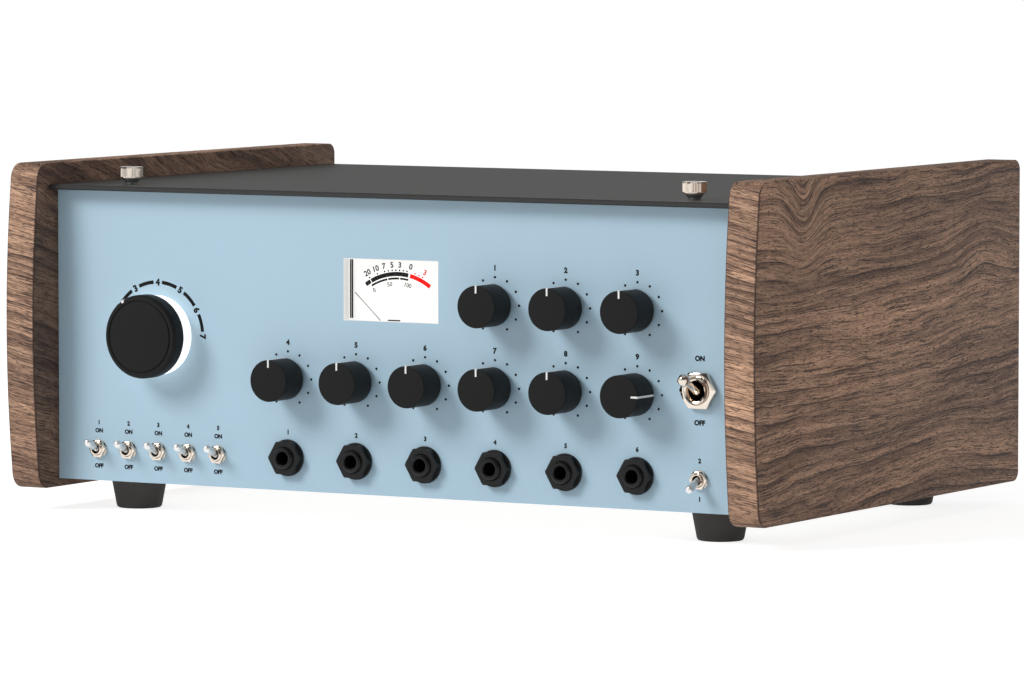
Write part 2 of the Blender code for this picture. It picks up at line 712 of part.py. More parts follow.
def make_thumbscrews():
    head_bottom = SCREW_NECK_HEIGHT
    head_top = head_bottom + SCREW_HEAD_HEIGHT
    full = SCREW_HEAD_RADIUS
    eased = full - SCREW_HEAD_EDGE
    profile = [(0, head_top), (eased, head_top), (full, head_top - SCREW_HEAD_EDGE),
               (full, head_bottom + SCREW_HEAD_EDGE), (eased, head_bottom),
               (SCREW_NECK_RADIUS, head_bottom), (SCREW_NECK_FOOT_RADIUS, CLEARANCE),
               (SCREW_SHANK_RADIUS, CLEARANCE), (SCREW_SHANK_RADIUS, -SCREW_SHANK_LENGTH),
               (0, -SCREW_SHANK_LENGTH)]
    body = tool("thumbscrew", turned_mesh("thumbscrew", profile, SCREW_SIDES))
    low = (-SCREW_SLOT_WIDTH / 2, -full - OVERRUN, head_top - SCREW_SLOT_DEPTH)
    high = (SCREW_SLOT_WIDTH / 2, full + OVERRUN, head_top + OVERRUN)
    boolean(body, tool("thumbscrew slot", boxes_mesh("thumbscrew slot", [(low, high)])))
    mesh = settled_mesh(body)
    for name, side in (("thumbscrew_left", -1), ("thumbscrew_right", 1)):
        place(name, mesh, (side * SCREW_X, PANEL_Y + SCREW_Y, COVER_TOP_Z), UPRIGHT, NICKEL)


def make_feet():
    top = TRAY_BOTTOM_Z - CLEARANCE
    edge = arc((FOOT_BOTTOM_RADIUS - FOOT_EDGE, FOOT_EDGE), FOOT_EDGE, 0, -90, 3)
    mesh = turned_mesh("foot", [(0, top), (FOOT_TOP_RADIUS, top)] + edge + [(0, 0)], FOOT_SIDES)
    for row, depth in (("front", FOOT_FRONT_Y), ("rear", FOOT_REAR_Y)):
        for side, sign in (("left", -1), ("right", 1)):
            place(f"foot_{row}_{side}", mesh, (sign * FOOT_X, PANEL_Y + depth, 0), UPRIGHT, RUBBER)


# Knobs

def make_small_knobs():
    front = KNOB_STAND_OFF + KNOB_DEPTH
    profile = [(0, front), (KNOB_RADIUS - KNOB_EDGE, front), (KNOB_RADIUS, front - KNOB_EDGE),
               (KNOB_RADIUS, KNOB_STAND_OFF), (SHAFT_RADIUS, KNOB_STAND_OFF),
               (SHAFT_RADIUS, -SHAFT_REACH), (0, -SHAFT_REACH)]
    body = tool("knob", turned_mesh("knob", profile, KNOB_SIDES))
    outside = KNOB_RADIUS + OVERRUN
    groove = KNOB_RADIUS - KNOB_LINE_DEPTH
    inside = KNOB_RADIUS - KNOB_LINE_LENGTH
    line = [(outside, KNOB_STAND_OFF - OVERRUN), (outside, front + OVERRUN), (inside, front + OVERRUN),
            (inside, front - KNOB_LINE_DEPTH), (groove, front - KNOB_LINE_DEPTH),
            (groove, KNOB_STAND_OFF - OVERRUN)]
    boolean(body, tool("knob line", outline_mesh("knob line", [line], KNOB_LINE_WIDTH), (0, 0, 0), SIDEWAYS))
    mesh = settled_mesh(body)
    for name, x, z in knob_places():
        turn = TURNED_VOLUME_DEG if name == "echo_volume_knob" else 0
        place(name, mesh, on_panel(x, z), facing_front(turn), BLACK_PLASTIC)


def make_mode_knob():
    rear = MODE_COLLAR_DEPTH + CLEARANCE
    front = rear + MODE_KNOB_DEPTH
    groove_low = MODE_GROOVE_RADIUS - MODE_GROOVE_WIDTH / 2
    groove_high = MODE_GROOVE_RADIUS + MODE_GROOVE_WIDTH / 2
    face_radius = MODE_RADIUS - MODE_CHAMFER
    profile = [(0, front), (groove_low, front), (groove_low, front - MODE_GROOVE_DEPTH),
               (groove_high, front - MODE_GROOVE_DEPTH), (groove_high, front), (face_radius, front),
               (MODE_RADIUS, front - MODE_CHAMFER_DEPTH), (MODE_RADIUS, rear), (SHAFT_RADIUS, rear),
               (SHAFT_RADIUS, -SHAFT_REACH), (0, -SHAFT_REACH)]
    knob = place("mode_knob", turned_mesh("mode_knob", profile, MODE_SIDES), on_panel(MODE_X, MODE_Z),
                 facing_front(MODE_POINTER_DEG), BLACK_PLASTIC)
    low = (-MODE_NOTCH_WIDTH / 2, groove_high + MODE_GROOVE_WIDTH, front - MODE_NOTCH_DEPTH)
    high = (MODE_NOTCH_WIDTH / 2, MODE_RADIUS + OVERRUN, front + OVERRUN)
    boolean(knob, tool("mode pointer notch", boxes_mesh("mode pointer notch", [(low, high)]),
                       on_panel(MODE_X, MODE_Z), facing_front(MODE_POINTER_DEG)))


def make_mode_collar():
    profile = [(MODE_COLLAR_RADIUS, MODE_COLLAR_DEPTH), (MODE_COLLAR_RADIUS, CLEARANCE),
               (MODE_COLLAR_BORE, CLEARANCE), (MODE_COLLAR_BORE, MODE_COLLAR_DEPTH)]
    mesh = turned_mesh("mode_collar", profile, MODE_SIDES, closed=True)
    place("mode_collar", mesh, on_panel(MODE_X, MODE_Z), facing_front(), WHITE_PLASTIC)


# Sockets and switches

def make_jacks():
    seat = -PANEL_THICKNESS - CLEARANCE
    half = JACK_BODY_SIDE / 2
    body = tool("jack", boxes_mesh("jack", [((-half, -half, seat - JACK_BODY_DEPTH), (half, half, seat))]))
    barrel = [(0, JACK_FRONT), (JACK_BARREL_RADIUS - JACK_BARREL_CHAMFER, JACK_FRONT),
              (JACK_BARREL_RADIUS, JACK_FRONT - JACK_BARREL_CHAMFER),
              (JACK_BARREL_RADIUS, JACK_WASHER_DEPTH), (JACK_WASHER_RADIUS, JACK_WASHER_DEPTH),
              (JACK_WASHER_RADIUS, CLEARANCE), (JACK_BARREL_RADIUS, CLEARANCE),
              (JACK_BARREL_RADIUS, seat - FUSE), (0, seat - FUSE)]
    boolean(body, tool("jack barrel", turned_mesh("jack barrel", barrel, JACK_SIDES)), 'UNION')
    nut = nut_mesh("jack nut", JACK_NUT_FLATS, JACK_NUT_FRONT, JACK_WASHER_DEPTH - FUSE)
    boolean(body, tool("jack nut", nut), 'UNION')
    bore = rods_mesh("jack bore", JACK_BORE_RADIUS, JACK_FRONT - JACK_BORE_DEPTH, JACK_FRONT + OVERRUN,
                     [(0, 0)], JACK_SIDES)
    boolean(body, tool("jack bore", bore))
    mesh = settled_mesh(body)
    for name, x, z in jack_places():
        place(name, mesh, on_panel(x, z), facing_front(), BLACK_PLASTIC)


def switch_body_mesh(name, body_size, bushing_radius, bushing_front, bore_radius, bore_depth,
                     nut_flats, nut_front, sides):
    """A toggle switch without its lever: body behind the panel, threaded bushing and nut."""
    seat = -PANEL_THICKNESS - CLEARANCE
    width, height, depth = body_size
    low = (-width / 2, -height / 2, seat - depth)
    high = (width / 2, height / 2, seat)
    body = tool(name, boxes_mesh(name, [(low, high)]))
    bushing = rods_mesh(name + " bushing", bushing_radius, seat - FUSE, bushing_front, [(0, 0)], sides)
    boolean(body, tool(name + " bushing", bushing), 'UNION')
    boolean(body, tool(name + " nut", nut_mesh(name + " nut", nut_flats, nut_front, CLEARANCE)), 'UNION')
    bore = rods_mesh(name + " bore", bore_radius, bushing_front - bore_depth, bushing_front + OVERRUN,
                     [(0, 0)], sides)
    boolean(body, tool(name + " bore", bore))
    return settled_mesh(body)


def small_lever_mesh():
    tip = TOGGLE_LEVER_TIP
    end = arc((0, TOGGLE_LEVER_LENGTH - tip), tip, 90, 0, 3)
    profile = end + [(TOGGLE_LEVER_ROOT, TOGGLE_PIVOT_DEPTH), (TOGGLE_LEVER_ROOT, -TOGGLE_LEVER_TAIL),
                     (0, -TOGGLE_LEVER_TAIL)]
    return turned_mesh("toggle lever", profile, TOGGLE_SIDES)


def make_small_toggles():
    size = (TOGGLE_BODY_WIDTH, TOGGLE_BODY_HEIGHT, TOGGLE_BODY_DEPTH)
    body = switch_body_mesh("toggle body", size, TOGGLE_BUSHING_RADIUS, TOGGLE_BUSHING_FRONT,
                            TOGGLE_BORE_RADIUS, TOGGLE_BORE_DEPTH, TOGGLE_NUT_FLATS,
                            TOGGLE_NUT_FRONT, TOGGLE_SIDES)
    lever = small_lever_mesh()
    pivot_y = PANEL_Y - TOGGLE_BUSHING_FRONT + TOGGLE_PIVOT_DEPTH
    for name, x, z, is_up in toggle_places():
        place(name + "_body", body, on_panel(x, z), facing_front(), NICKEL)
        throw = math.radians(-TOGGLE_THROW_DEG if is_up else TOGGLE_THROW_DEG)
        place(name + "_lever", lever, (x, pivot_y, BASE_Z + z), (math.pi / 2 + throw, 0, 0), NICKEL)


def make_power_switch():
    size = (POWER_BODY_WIDTH, POWER_BODY_HEIGHT, POWER_BODY_DEPTH)
    body = switch_body_mesh("power_switch_body", size, POWER_BUSHING_RADIUS, POWER_BUSHING_FRONT,
                            POWER_BORE_RADIUS, POWER_BORE_DEPTH, POWER_NUT_FLATS, POWER_NUT_FRONT,
                            POWER_SIDES)
    place("power_switch_body", body, on_panel(POWER_X, POWER_Z), facing_front(), NICKEL)
    neck_deg = math.degrees(math.asin(POWER_LEVER_NECK / POWER_BALL_RADIUS))
    ball = arc((0, POWER_BALL_REACH), POWER_BALL_RADIUS, 90, neck_deg - 90, 7)
    profile = ball + [(POWER_LEVER_ROOT, POWER_PIVOT_DEPTH), (POWER_LEVER_ROOT, -POWER_LEVER_TAIL),
                      (0, -POWER_LEVER_TAIL)]
    lever = turned_mesh("power_switch_lever", profile, TOGGLE_SIDES)
    pivot = (POWER_X, PANEL_Y - POWER_BUSHING_FRONT + POWER_PIVOT_DEPTH, BASE_Z + POWER_Z)
    place("power_switch_lever", lever, pivot, (math.pi / 2 - math.radians(TOGGLE_THROW_DEG), 0, 0), NICKEL)


# Meter

def make_meter():
    half_width = METER_CASE_WIDTH / 2
    low_z = BASE_Z + METER_CASE_Z - METER_CASE_HEIGHT / 2
    high_z = low_z + METER_CASE_HEIGHT
    lens_back = SEAT_Y + METER_LENS_THICKNESS
    left = METER_X - half_width
    right = METER_X + half_width
    lens = boxes_mesh("meter_lens", [((left, SEAT_Y, low_z), (right, lens_back, high_z))])
    place("meter_lens", lens, (0, 0, 0), UPRIGHT, CLEAR_PLASTIC)
    case_front = lens_back + CLEARANCE
    dial_y = PANEL_Y + METER_DIAL_DEPTH
    outside = ((left, case_front, low_z), (right, PANEL_Y + METER_CASE_BACK, high_z))
    case = boxes_mesh("meter_case", [outside])
    case = place("meter_case", case, (0, 0, 0), UPRIGHT, WHITE_PLASTIC)
    recess = ((left + METER_WALL, case_front - OVERRUN, low_z + METER_WALL),
              (right - METER_WALL, dial_y, high_z - METER_WALL))
    boolean(case, tool("meter recess", boxes_mesh("meter recess", [recess])))
    hub = rods_mesh("meter_needle", NEEDLE_HUB_RADIUS, 0, NEEDLE_HUB_DEPTH, [(0, 0)], TOGGLE_SIDES)
    pivot = (METER_X, dial_y - CLEARANCE, BASE_Z + METER_PIVOT_Z)
    needle = place("meter_needle", hub, pivot, facing_front(NEEDLE_REST_DEG), BLACK_PLASTIC)
    middle = NEEDLE_HUB_DEPTH / 2
    blade = ((-NEEDLE_WIDTH / 2, 0, middle - NEEDLE_THICKNESS / 2),
             (NEEDLE_WIDTH / 2, NEEDLE_LENGTH, middle + NEEDLE_THICKNESS / 2))
    boolean(needle, tool("needle blade", boxes_mesh("needle blade", [blade]), pivot,
                         facing_front(NEEDLE_REST_DEG)), 'UNION')


# Boards behind the panel and on the floor of the tray

def rotary_mesh(name, radius):
    """A potentiometer or rotary switch: body behind the panel, bushing through it, bore for the shaft."""
    seat = -PANEL_THICKNESS - CLEARANCE
    bore = SHAFT_RADIUS + CLEARANCE
    bore_end = -SHAFT_REACH - CLEARANCE
    front = KNOB_STAND_OFF - CLEARANCE
    back = seat - POT_DEPTH - BOARD_THICKNESS / 2
    profile = [(0, bore_end), (bore, bore_end), (bore, front), (POT_BUSHING_RADIUS, front),
               (POT_BUSHING_RADIUS, seat), (radius, seat), (radius, back), (0, back)]
    return turned_mesh(name, profile, POT_SIDES)


def make_control_board():
    left = MODE_X - BOARD_EDGE
    right = FIRST_COLUMN_X + (len(MAIN_ROW_KNOBS) - 1) * COLUMN_PITCH + BOARD_EDGE
    step = right - (len(TOP_ROW_KNOBS) - 1) * COLUMN_PITCH - 2 * BOARD_EDGE
    low = MAIN_ROW_Z - BOARD_EDGE
    shoulder = MAIN_ROW_Z + BOARD_EDGE
    top_right = TOP_ROW_Z + BOARD_EDGE
    top_left = MODE_Z + BOARD_EDGE
    points = [(left, low), (right, low), (right, top_right), (step, top_right), (step, shoulder),
              (MODE_X + BOARD_EDGE, shoulder), (MODE_X + BOARD_EDGE, top_left), (left, top_left)]
    board_y = SEAT_Y + POT_DEPTH + BOARD_THICKNESS / 2
    mesh = outline_mesh("control_board", [points], BOARD_THICKNESS)
    board = place("control_board", mesh, (0, board_y, BASE_Z), facing_front(), GREEN_BOARD)
    pot = rotary_mesh("potentiometer", POT_RADIUS)
    switch = rotary_mesh("rotary switch", SWITCH_RADIUS)
    turn = Matrix.Rotation(math.pi / 2, 4, 'X')
    bm = bmesh.new()
    for mesh, x, z in [(pot, x, z) for _, x, z in knob_places()] + [(switch, MODE_X, MODE_Z)]:
        copy = mesh.copy()
        copy.transform(Matrix.Translation(on_panel(x, z)) @ turn)
        bm.from_mesh(copy)
    boolean(board, tool("rotary controls", mesh_from(bm, "rotary controls")), 'UNION')


def make_main_board():
    x = MAIN_BOARD_CENTRE[0]
    y = PANEL_Y + MAIN_BOARD_CENTRE[1]
    low = TRAY_FLOOR_Z + MAIN_BOARD_STAND
    high = low + BOARD_THICKNESS
    mesh = boxes_mesh("main_board", [centred_span(x, y, MAIN_BOARD_SIZE, low, high)])
    board = place("main_board", mesh, (0, 0, 0), UPRIGHT, GREEN_BOARD)
    reach_x = MAIN_BOARD_SIZE[0] / 2 - STAND_INSET
    reach_y = MAIN_BOARD_SIZE[1] / 2 - STAND_INSET
    corners = [(x + sx * reach_x, y + sy * reach_y) for sx in (-1, 1) for sy in (-1, 1)]
    stands = rods_mesh("board stands", STAND_RADIUS, TRAY_FLOOR_Z + CLEARANCE, low + FUSE, corners,
                       TOGGLE_SIDES)
    boolean(board, tool("board stands", stands), 'UNION')
    middle = (CAPACITOR_COUNT - 1) / 2
    row = [(x + (index - middle) * CAPACITOR_PITCH, y) for index in range(CAPACITOR_COUNT)]
    cans = rods_mesh("capacitors", CAPACITOR_RADIUS, high - FUSE, high + CAPACITOR_HEIGHT, row, TOGGLE_SIDES)
    boolean(board, tool("capacitors", cans), 'UNION')


def centred_span(centre_x, centre_y, size, low_z, high_z):
    return ((centre_x - size[0] / 2, centre_y - size[1] / 2, low_z),
            (centre_x + size[0] / 2, centre_y + size[1] / 2, high_z))


def make_transformer():
    x = TRANSFORMER_CENTRE[0]
    y = PANEL_Y + TRANSFORMER_CENTRE[1]
    seat = TRAY_FLOOR_Z + CLEARANCE
    core_top = seat + TRANSFORMER_CORE[2]
    coil_low = seat + (TRANSFORMER_CORE[2] - TRANSFORMER_COIL[2]) / 2
    core = boxes_mesh("transformer", [centred_span(x, y, TRANSFORMER_CORE, seat, core_top)])
    core = place("transformer", core, (0, 0, 0), UPRIGHT, STEEL)
    coil = centred_span(x, y, TRANSFORMER_COIL, coil_low, coil_low + TRANSFORMER_COIL[2])
    boolean(core, tool("coil", boxes_mesh("coil", [coil])), 'UNION')
    foot_size = (TRANSFORMER_CORE[0] + 2 * TRANSFORMER_FOOT_MARGIN, TRANSFORMER_CORE[1] - FUSE)
    foot = centred_span(x, y, foot_size, seat, seat + TRANSFORMER_FOOT_THICKNESS)
    boolean(core, tool("transformer feet", boxes_mesh("transformer feet", [foot])), 'UNION')


def make_reverb_tank():
    x = TANK_CENTRE[0]
    y = PANEL_Y + TANK_CENTRE[1]
    seat = TRAY_FLOOR_Z + CLEARANCE
    low = seat + TANK_PAD_HEIGHT
    high = low + TANK_SIZE[2]
    tank = boxes_mesh("reverb_tank", [centred_span(x, y, TANK_SIZE, low, high)])
    tank = place("reverb_tank", tank, (0, 0, 0), UPRIGHT, STEEL)
    rim_size = (TANK_SIZE[0] + 2 * TANK_RIM, TANK_SIZE[1] - FUSE)
    rim = centred_span(x, y, rim_size, low, low + TANK_WALL)
    boolean(tank, tool("tank rim", boxes_mesh("tank rim", [rim])), 'UNION')
    hollow_size = (TANK_SIZE[0] - 2 * TANK_WALL, TANK_SIZE[1] - 2 * TANK_WALL)
    hollow = centred_span(x, y, hollow_size, low - OVERRUN, high - TANK_WALL)
    boolean(tank, tool("tank hollow", boxes_mesh("tank hollow", [hollow])))
    reach = TANK_SIZE[0] / 2 + TANK_RIM - TANK_PAD_RADIUS
    inner = TANK_SIZE[1] / 2 - TANK_PAD_RADIUS - TANK_WALL
    corners = [(x + sx * reach, y + sy * inner) for sx in (-1, 1) for sy in (-1, 1)]
    pads = rods_mesh("tank pads", TANK_PAD_RADIUS, seat, low + FUSE, corners, TOGGLE_SIDES)
    boolean(tank, tool("tank pads", pads), 'UNION')


def make_mains_inlet():
    middle = (INLET_X, BASE_Z + INLET_Z)
    outer_y = REAR_Y + CLEARANCE + INLET_FLANGE_THICKNESS
    inner_y = outer_y - INLET_BODY_DEPTH - INLET_FLANGE_THICKNESS
    recess_y = outer_y - INLET_RECESS_DEPTH

    def span(size, low_y, high_y, shift_x=0, shift_z=0):
        x = middle[0] + shift_x
        z = middle[1] + shift_z
        return ((x - size[0] / 2, low_y, z - size[1] / 2), (x + size[0] / 2, high_y, z + size[1] / 2))

    body = boxes_mesh("mains_inlet", [span(INLET_FLANGE, REAR_Y + CLEARANCE, outer_y)])
    inlet = place("mains_inlet", body, (0, 0, 0), UPRIGHT, BLACK_PLASTIC)
    shell = span(INLET_BODY, inner_y, REAR_Y + CLEARANCE + FUSE)
    boolean(inlet, tool("inlet body", boxes_mesh("inlet body", [shell])), 'UNION')
    recess = span(INLET_RECESS, recess_y, outer_y + OVERRUN)
    boolean(inlet, tool("inlet recess", boxes_mesh("inlet recess", [recess])))
    tip_y = recess_y + INLET_PIN_LENGTH
    root_y = recess_y - FUSE
    pins = [span(INLET_PIN, root_y, tip_y, side * INLET_PIN_PITCH, -INLET_PIN_RISE) for side in (-1, 1)]
    pins.append(span(INLET_PIN, root_y, tip_y, 0, INLET_PIN_RISE))
    boolean(inlet, tool("inlet pins", boxes_mesh("inlet pins", pins)), 'UNION')


# Tape deck

def bin_walls():
    """The U of side and rear walls round the tape bin, open towards the front."""
    outer = BIN_HALF_WIDTH
    inner = outer - BIN_WALL
    front = PANEL_Y + BIN_FRONT_Y
    rear = PANEL_Y + BIN_REAR_Y
    return [(-outer, front), (-inner, front), (-inner, rear - BIN_WALL), (inner, rear - BIN_WALL),
            (inner, front), (outer, front), (outer, rear), (-outer, rear)]


def front_wall():
    """The middle stretch of the bin's front wall, between the two gates that the tape runs through."""
    half = BIN_HALF_WIDTH - BIN_WALL - BIN_GATE
    front = PANEL_Y + BIN_FRONT_Y
    return [(-half, front), (half, front), (half, front + BIN_WALL), (-half, front + BIN_WALL)]


def tape_half_span():
    """Half the distance between the tape's first and last pass."""
    return BIN_HALF_WIDTH - BIN_WALL - BIN_GATE / 2


def guide_places():
    x = tape_half_span() - TAPE_TURN_RADIUS
    return [(-x, TAPE_Y + TAPE_TURN_RADIUS), (x, TAPE_Y + TAPE_TURN_RADIUS)]


def make_deck_plate():
    wall_x = SHEET_HALF_WIDTH - TRAY_THICKNESS - CLEARANCE - DECK_THICKNESS / 2
    front = PANEL_Y + DECK_FRONT_Y
    rear = REAR_Y - REAR_THICKNESS - DECK_REAR_MARGIN
    middle_z = DECK_TOP_Z - DECK_THICKNESS / 2
    path = [(-wall_x, front, DECK_TOP_Z - DECK_FLANGE), (-wall_x, front, middle_z),
            (wall_x, front, middle_z), (wall_x, front, DECK_TOP_Z - DECK_FLANGE)]
    mesh = sheet_mesh("tape_deck_plate", path, (0, rear - front, 0), DECK_THICKNESS)
    deck = place("tape_deck_plate", mesh, (0, 0, 0), UPRIGHT, ZINC)
    floor = ((-BIN_HALF_WIDTH, PANEL_Y + BIN_FRONT_Y, DECK_TOP_Z - FUSE),
             (BIN_HALF_WIDTH, PANEL_Y + BIN_REAR_Y, DECK_TOP_Z + BIN_FLOOR_THICKNESS))
    boolean(deck, tool("bin floor", boxes_mesh("bin floor", [floor])), 'UNION')
    wall_low = DECK_TOP_Z - DECK_THICKNESS / 2
    wall_height = BIN_WALL_HEIGHT + DECK_THICKNESS / 2
    walls = outline_mesh("bin walls", [bin_walls(), front_wall()], wall_height)
    boolean(deck, tool("bin walls", walls, (0, 0, wall_low + wall_height / 2)), 'UNION')
    guide_radius = TAPE_TURN_RADIUS - TAPE_THICKNESS / 2 - CLEARANCE
    guides = rods_mesh("tape guides", guide_radius, wall_low, DECK_TOP_Z + GUIDE_HEIGHT, guide_places(),
                       TOGGLE_SIDES)
    boolean(deck, tool("tape guides", guides), 'UNION')
    arm_post = rods_mesh("arm post", ARM_POST_RADIUS, wall_low, DECK_TOP_Z + 2 * ARM_THICKNESS,
                         [(ARM_PIVOT_X, PANEL_Y + ARM_PIVOT_Y)], ARM_SIDES)
    boolean(deck, tool("arm post", arm_post), 'UNION')
    bearing_low = DECK_TOP_Z - DECK_THICKNESS - BEARING_DROP
    sleeve = rods_mesh("capstan bearing", BEARING_RADIUS, bearing_low, wall_low, [(CAPSTAN_X, CAPSTAN_Y)],
                       POT_SIDES)
    boolean(deck, tool("capstan bearing", sleeve), 'UNION')
    bore = rods_mesh("capstan bore", CAPSTAN_RADIUS + CLEARANCE, bearing_low - OVERRUN,
                     DECK_TOP_Z + OVERRUN, [(CAPSTAN_X, CAPSTAN_Y)], POT_SIDES)
    boolean(deck, tool("capstan bore", bore))


def tape_line():
    """Middle line of the tape loop: along the heads, then to and fro through the bin."""
    reach = tape_half_span()
    bend = TAPE_TURN_RADIUS
    step = 2 * reach / (TAPE_PASSES - 1)
    turn = step / 2
    rear = PANEL_Y + BIN_REAR_Y - BIN_WALL - TAPE_BIN_MARGIN - turn
    front = PANEL_Y + BIN_FRONT_Y + BIN_WALL + TAPE_BIN_MARGIN + turn
    points = arc((-reach + bend, TAPE_Y + bend), bend, 180, 270, TAPE_ARC_STEPS)
    points += arc((reach - bend, TAPE_Y + bend), bend, 270, 360, TAPE_ARC_STEPS)
    for index in range(TAPE_PASSES - 1):
        x = reach - (index + 0.5) * step
        if index % 2 == 0:
            points += arc((x, rear), turn, 0, 180, TAPE_ARC_STEPS)
        else:
            points += arc((x, front), turn, 360, 180, TAPE_ARC_STEPS)
    return points


def offset_loop(points, distance):
    """Move a closed loop of points sideways: to its right when the distance is positive."""
    moved = []
    for index, point in enumerate(points):
        before = Vector(point) - Vector(points[index - 1])
        after = Vector(points[(index + 1) % len(points)]) - Vector(point)
        side = before.normalized() + after.normalized()
        side = Vector((side.y, -side.x)).normalized()
        stretch = side.dot(Vector((before.y, -before.x)).normalized())
        moved.append(tuple(Vector(point) + side * (distance / stretch)))
    return moved


def make_tape_loop():
    middle = tape_line()
    loops = [offset_loop(middle, TAPE_THICKNESS / 2), offset_loop(middle, -TAPE_THICKNESS / 2)]
    mesh = outline_mesh("tape_loop", loops, TAPE_WIDTH)
    place("tape_loop", mesh, (0, 0, TAPE_Z + TAPE_WIDTH / 2), UPRIGHT, TAPE_BROWN)


def make_capstan():
    top = DECK_TOP_Z + CAPSTAN_TOP - FLYWHEEL_MIDDLE_Z
    half = FLYWHEEL_THICKNESS / 2
    web = half - FLYWHEEL_WEB_RECESS
    rim = FLYWHEEL_RADIUS - FLYWHEEL_RIM
    profile = [(0, top), (CAPSTAN_RADIUS, top), (CAPSTAN_RADIUS, half), (FLYWHEEL_HUB_RADIUS, half),
               (FLYWHEEL_HUB_RADIUS, web), (rim, web), (rim, half), (FLYWHEEL_RADIUS, half),
               (FLYWHEEL_RADIUS, -half), (0, -half)]
    place("capstan_flywheel", turned_mesh("capstan_flywheel", profile, FLYWHEEL_SIDES),
          (CAPSTAN_X, CAPSTAN_Y, FLYWHEEL_MIDDLE_Z), UPRIGHT, BRASS)


def motor_centre():
    return (MOTOR_X, PANEL_Y + MOTOR_Y)


def belt_direction_deg():
    """Direction from the motor to the capstan, seen from above."""
    x, y = motor_centre()
    return math.degrees(math.atan2(CAPSTAN_Y - y, CAPSTAN_X - x))


def pulley_half_height():
    return BELT_HEIGHT / 2 + CLEARANCE + PULLEY_RIM


def make_motor():
    x, y = motor_centre()
    shaft_top = FLYWHEEL_MIDDLE_Z + pulley_half_height()
    can_top = FLYWHEEL_MIDDLE_Z - pulley_half_height() - MOTOR_EDGE
    base = shaft_top - can_top
    eased = MOTOR_RADIUS - MOTOR_EDGE
    profile = [(0, base), (MOTOR_SHAFT_RADIUS, base), (MOTOR_SHAFT_RADIUS, 0), (eased, 0),
               (MOTOR_RADIUS, -MOTOR_EDGE), (MOTOR_RADIUS, MOTOR_EDGE - MOTOR_HEIGHT),
               (eased, -MOTOR_HEIGHT), (0, -MOTOR_HEIGHT)]
    motor = place("motor", turned_mesh("motor", profile, FOOT_SIDES), (x, y, can_top), UPRIGHT, STEEL)
    places = []
    for turn_deg in MOTOR_PILLAR_TURNS_DEG:
        angle = math.radians(belt_direction_deg() + turn_deg)
        places.append((x + MOTOR_PILLAR_CIRCLE * math.cos(angle), y + MOTOR_PILLAR_CIRCLE * math.sin(angle)))
    pillars = rods_mesh("motor pillars", MOTOR_PILLAR_RADIUS, can_top - FUSE,
                        DECK_TOP_Z - DECK_THICKNESS - CLEARANCE, places, ARM_SIDES)
    boolean(motor, tool("motor pillars", pillars), 'UNION')


def make_pulley():
    half = pulley_half_height()
    groove = half - PULLEY_RIM
    rim = PULLEY_RADIUS + PULLEY_FLANGE
    bore = MOTOR_SHAFT_RADIUS + CLEARANCE
    profile = [(rim, half), (rim, groove), (PULLEY_RADIUS, groove), (PULLEY_RADIUS, -groove),
               (rim, -groove), (rim, -half), (bore, -half), (bore, half)]
    mesh = turned_mesh("motor_pulley", profile, POT_SIDES, closed=True)
    place("motor_pulley", mesh, (*motor_centre(), FLYWHEEL_MIDDLE_Z), UPRIGHT, BRASS)


def belt_loop(extra):
    """A loop round the pulley and the flywheel, a little larger than both."""
    small = PULLEY_RADIUS + extra
    large = FLYWHEEL_RADIUS + extra
    x, y = motor_centre()
    distance = math.hypot(CAPSTAN_X - x, CAPSTAN_Y - y)
    wrap = math.degrees(math.acos((small - large) / distance))
    along = belt_direction_deg()
    loop = arc((x, y), small, along + wrap, along + 360 - wrap, BELT_ARC_STEPS)
    return loop + arc((CAPSTAN_X, CAPSTAN_Y), large, along - wrap, along + wrap, 2 * BELT_ARC_STEPS)


def make_belt():
    loops = [belt_loop(CLEARANCE + BELT_THICKNESS), belt_loop(CLEARANCE)]
    mesh = outline_mesh("drive_belt", loops, BELT_HEIGHT)
    place("drive_belt", mesh, (0, 0, FLYWHEEL_MIDDLE_Z), UPRIGHT, RUBBER)


def make_pinch_arm():
    pivot = (ARM_PIVOT_X, PANEL_Y + ARM_PIVOT_Y)
    along = math.degrees(math.atan2(ROLLER_Y - pivot[1], ROLLER_X - pivot[0]))
    edge = arc((ROLLER_X, ROLLER_Y), ARM_HALF_WIDTH, along - 90, along + 90, 2 * TAPE_ARC_STEPS)
    edge += arc(pivot, ARM_HALF_WIDTH, along + 90, along + 270, 2 * TAPE_ARC_STEPS)
    hole = arc(pivot, ARM_POST_RADIUS + CLEARANCE, 0, 360, ARM_SIDES)[:-1]

    def local(points):
        return [(x - pivot[0], y - pivot[1]) for x, y in points]

    low = DECK_TOP_Z + CLEARANCE
    mesh = outline_mesh("pinch_arm", [local(edge), local(hole)], ARM_THICKNESS)
    arm = place("pinch_arm", mesh, (*pivot, low + ARM_THICKNESS / 2), UPRIGHT, STEEL)
    post_top = low + ARM_THICKNESS + CLEARANCE + ROLLER_HEIGHT
    post = rods_mesh("roller post", ARM_POST_RADIUS, low + ARM_THICKNESS - FUSE, post_top,
                     [(ROLLER_X, ROLLER_Y)], ARM_SIDES)
    boolean(arm, tool("roller post", post), 'UNION')


def make_pinch_roller():
    half = ROLLER_HEIGHT / 2
    bore = ARM_POST_RADIUS + CLEARANCE
    profile = [(ROLLER_RADIUS, half), (ROLLER_RADIUS, -half), (bore, -half), (bore, half)]
    mesh = turned_mesh("pinch_roller", profile, ROLLER_SIDES, closed=True)
    low = DECK_TOP_Z + 2 * CLEARANCE + ARM_THICKNESS
    place("pinch_roller", mesh, (ROLLER_X, ROLLER_Y, low + half), UPRIGHT, RUBBER)


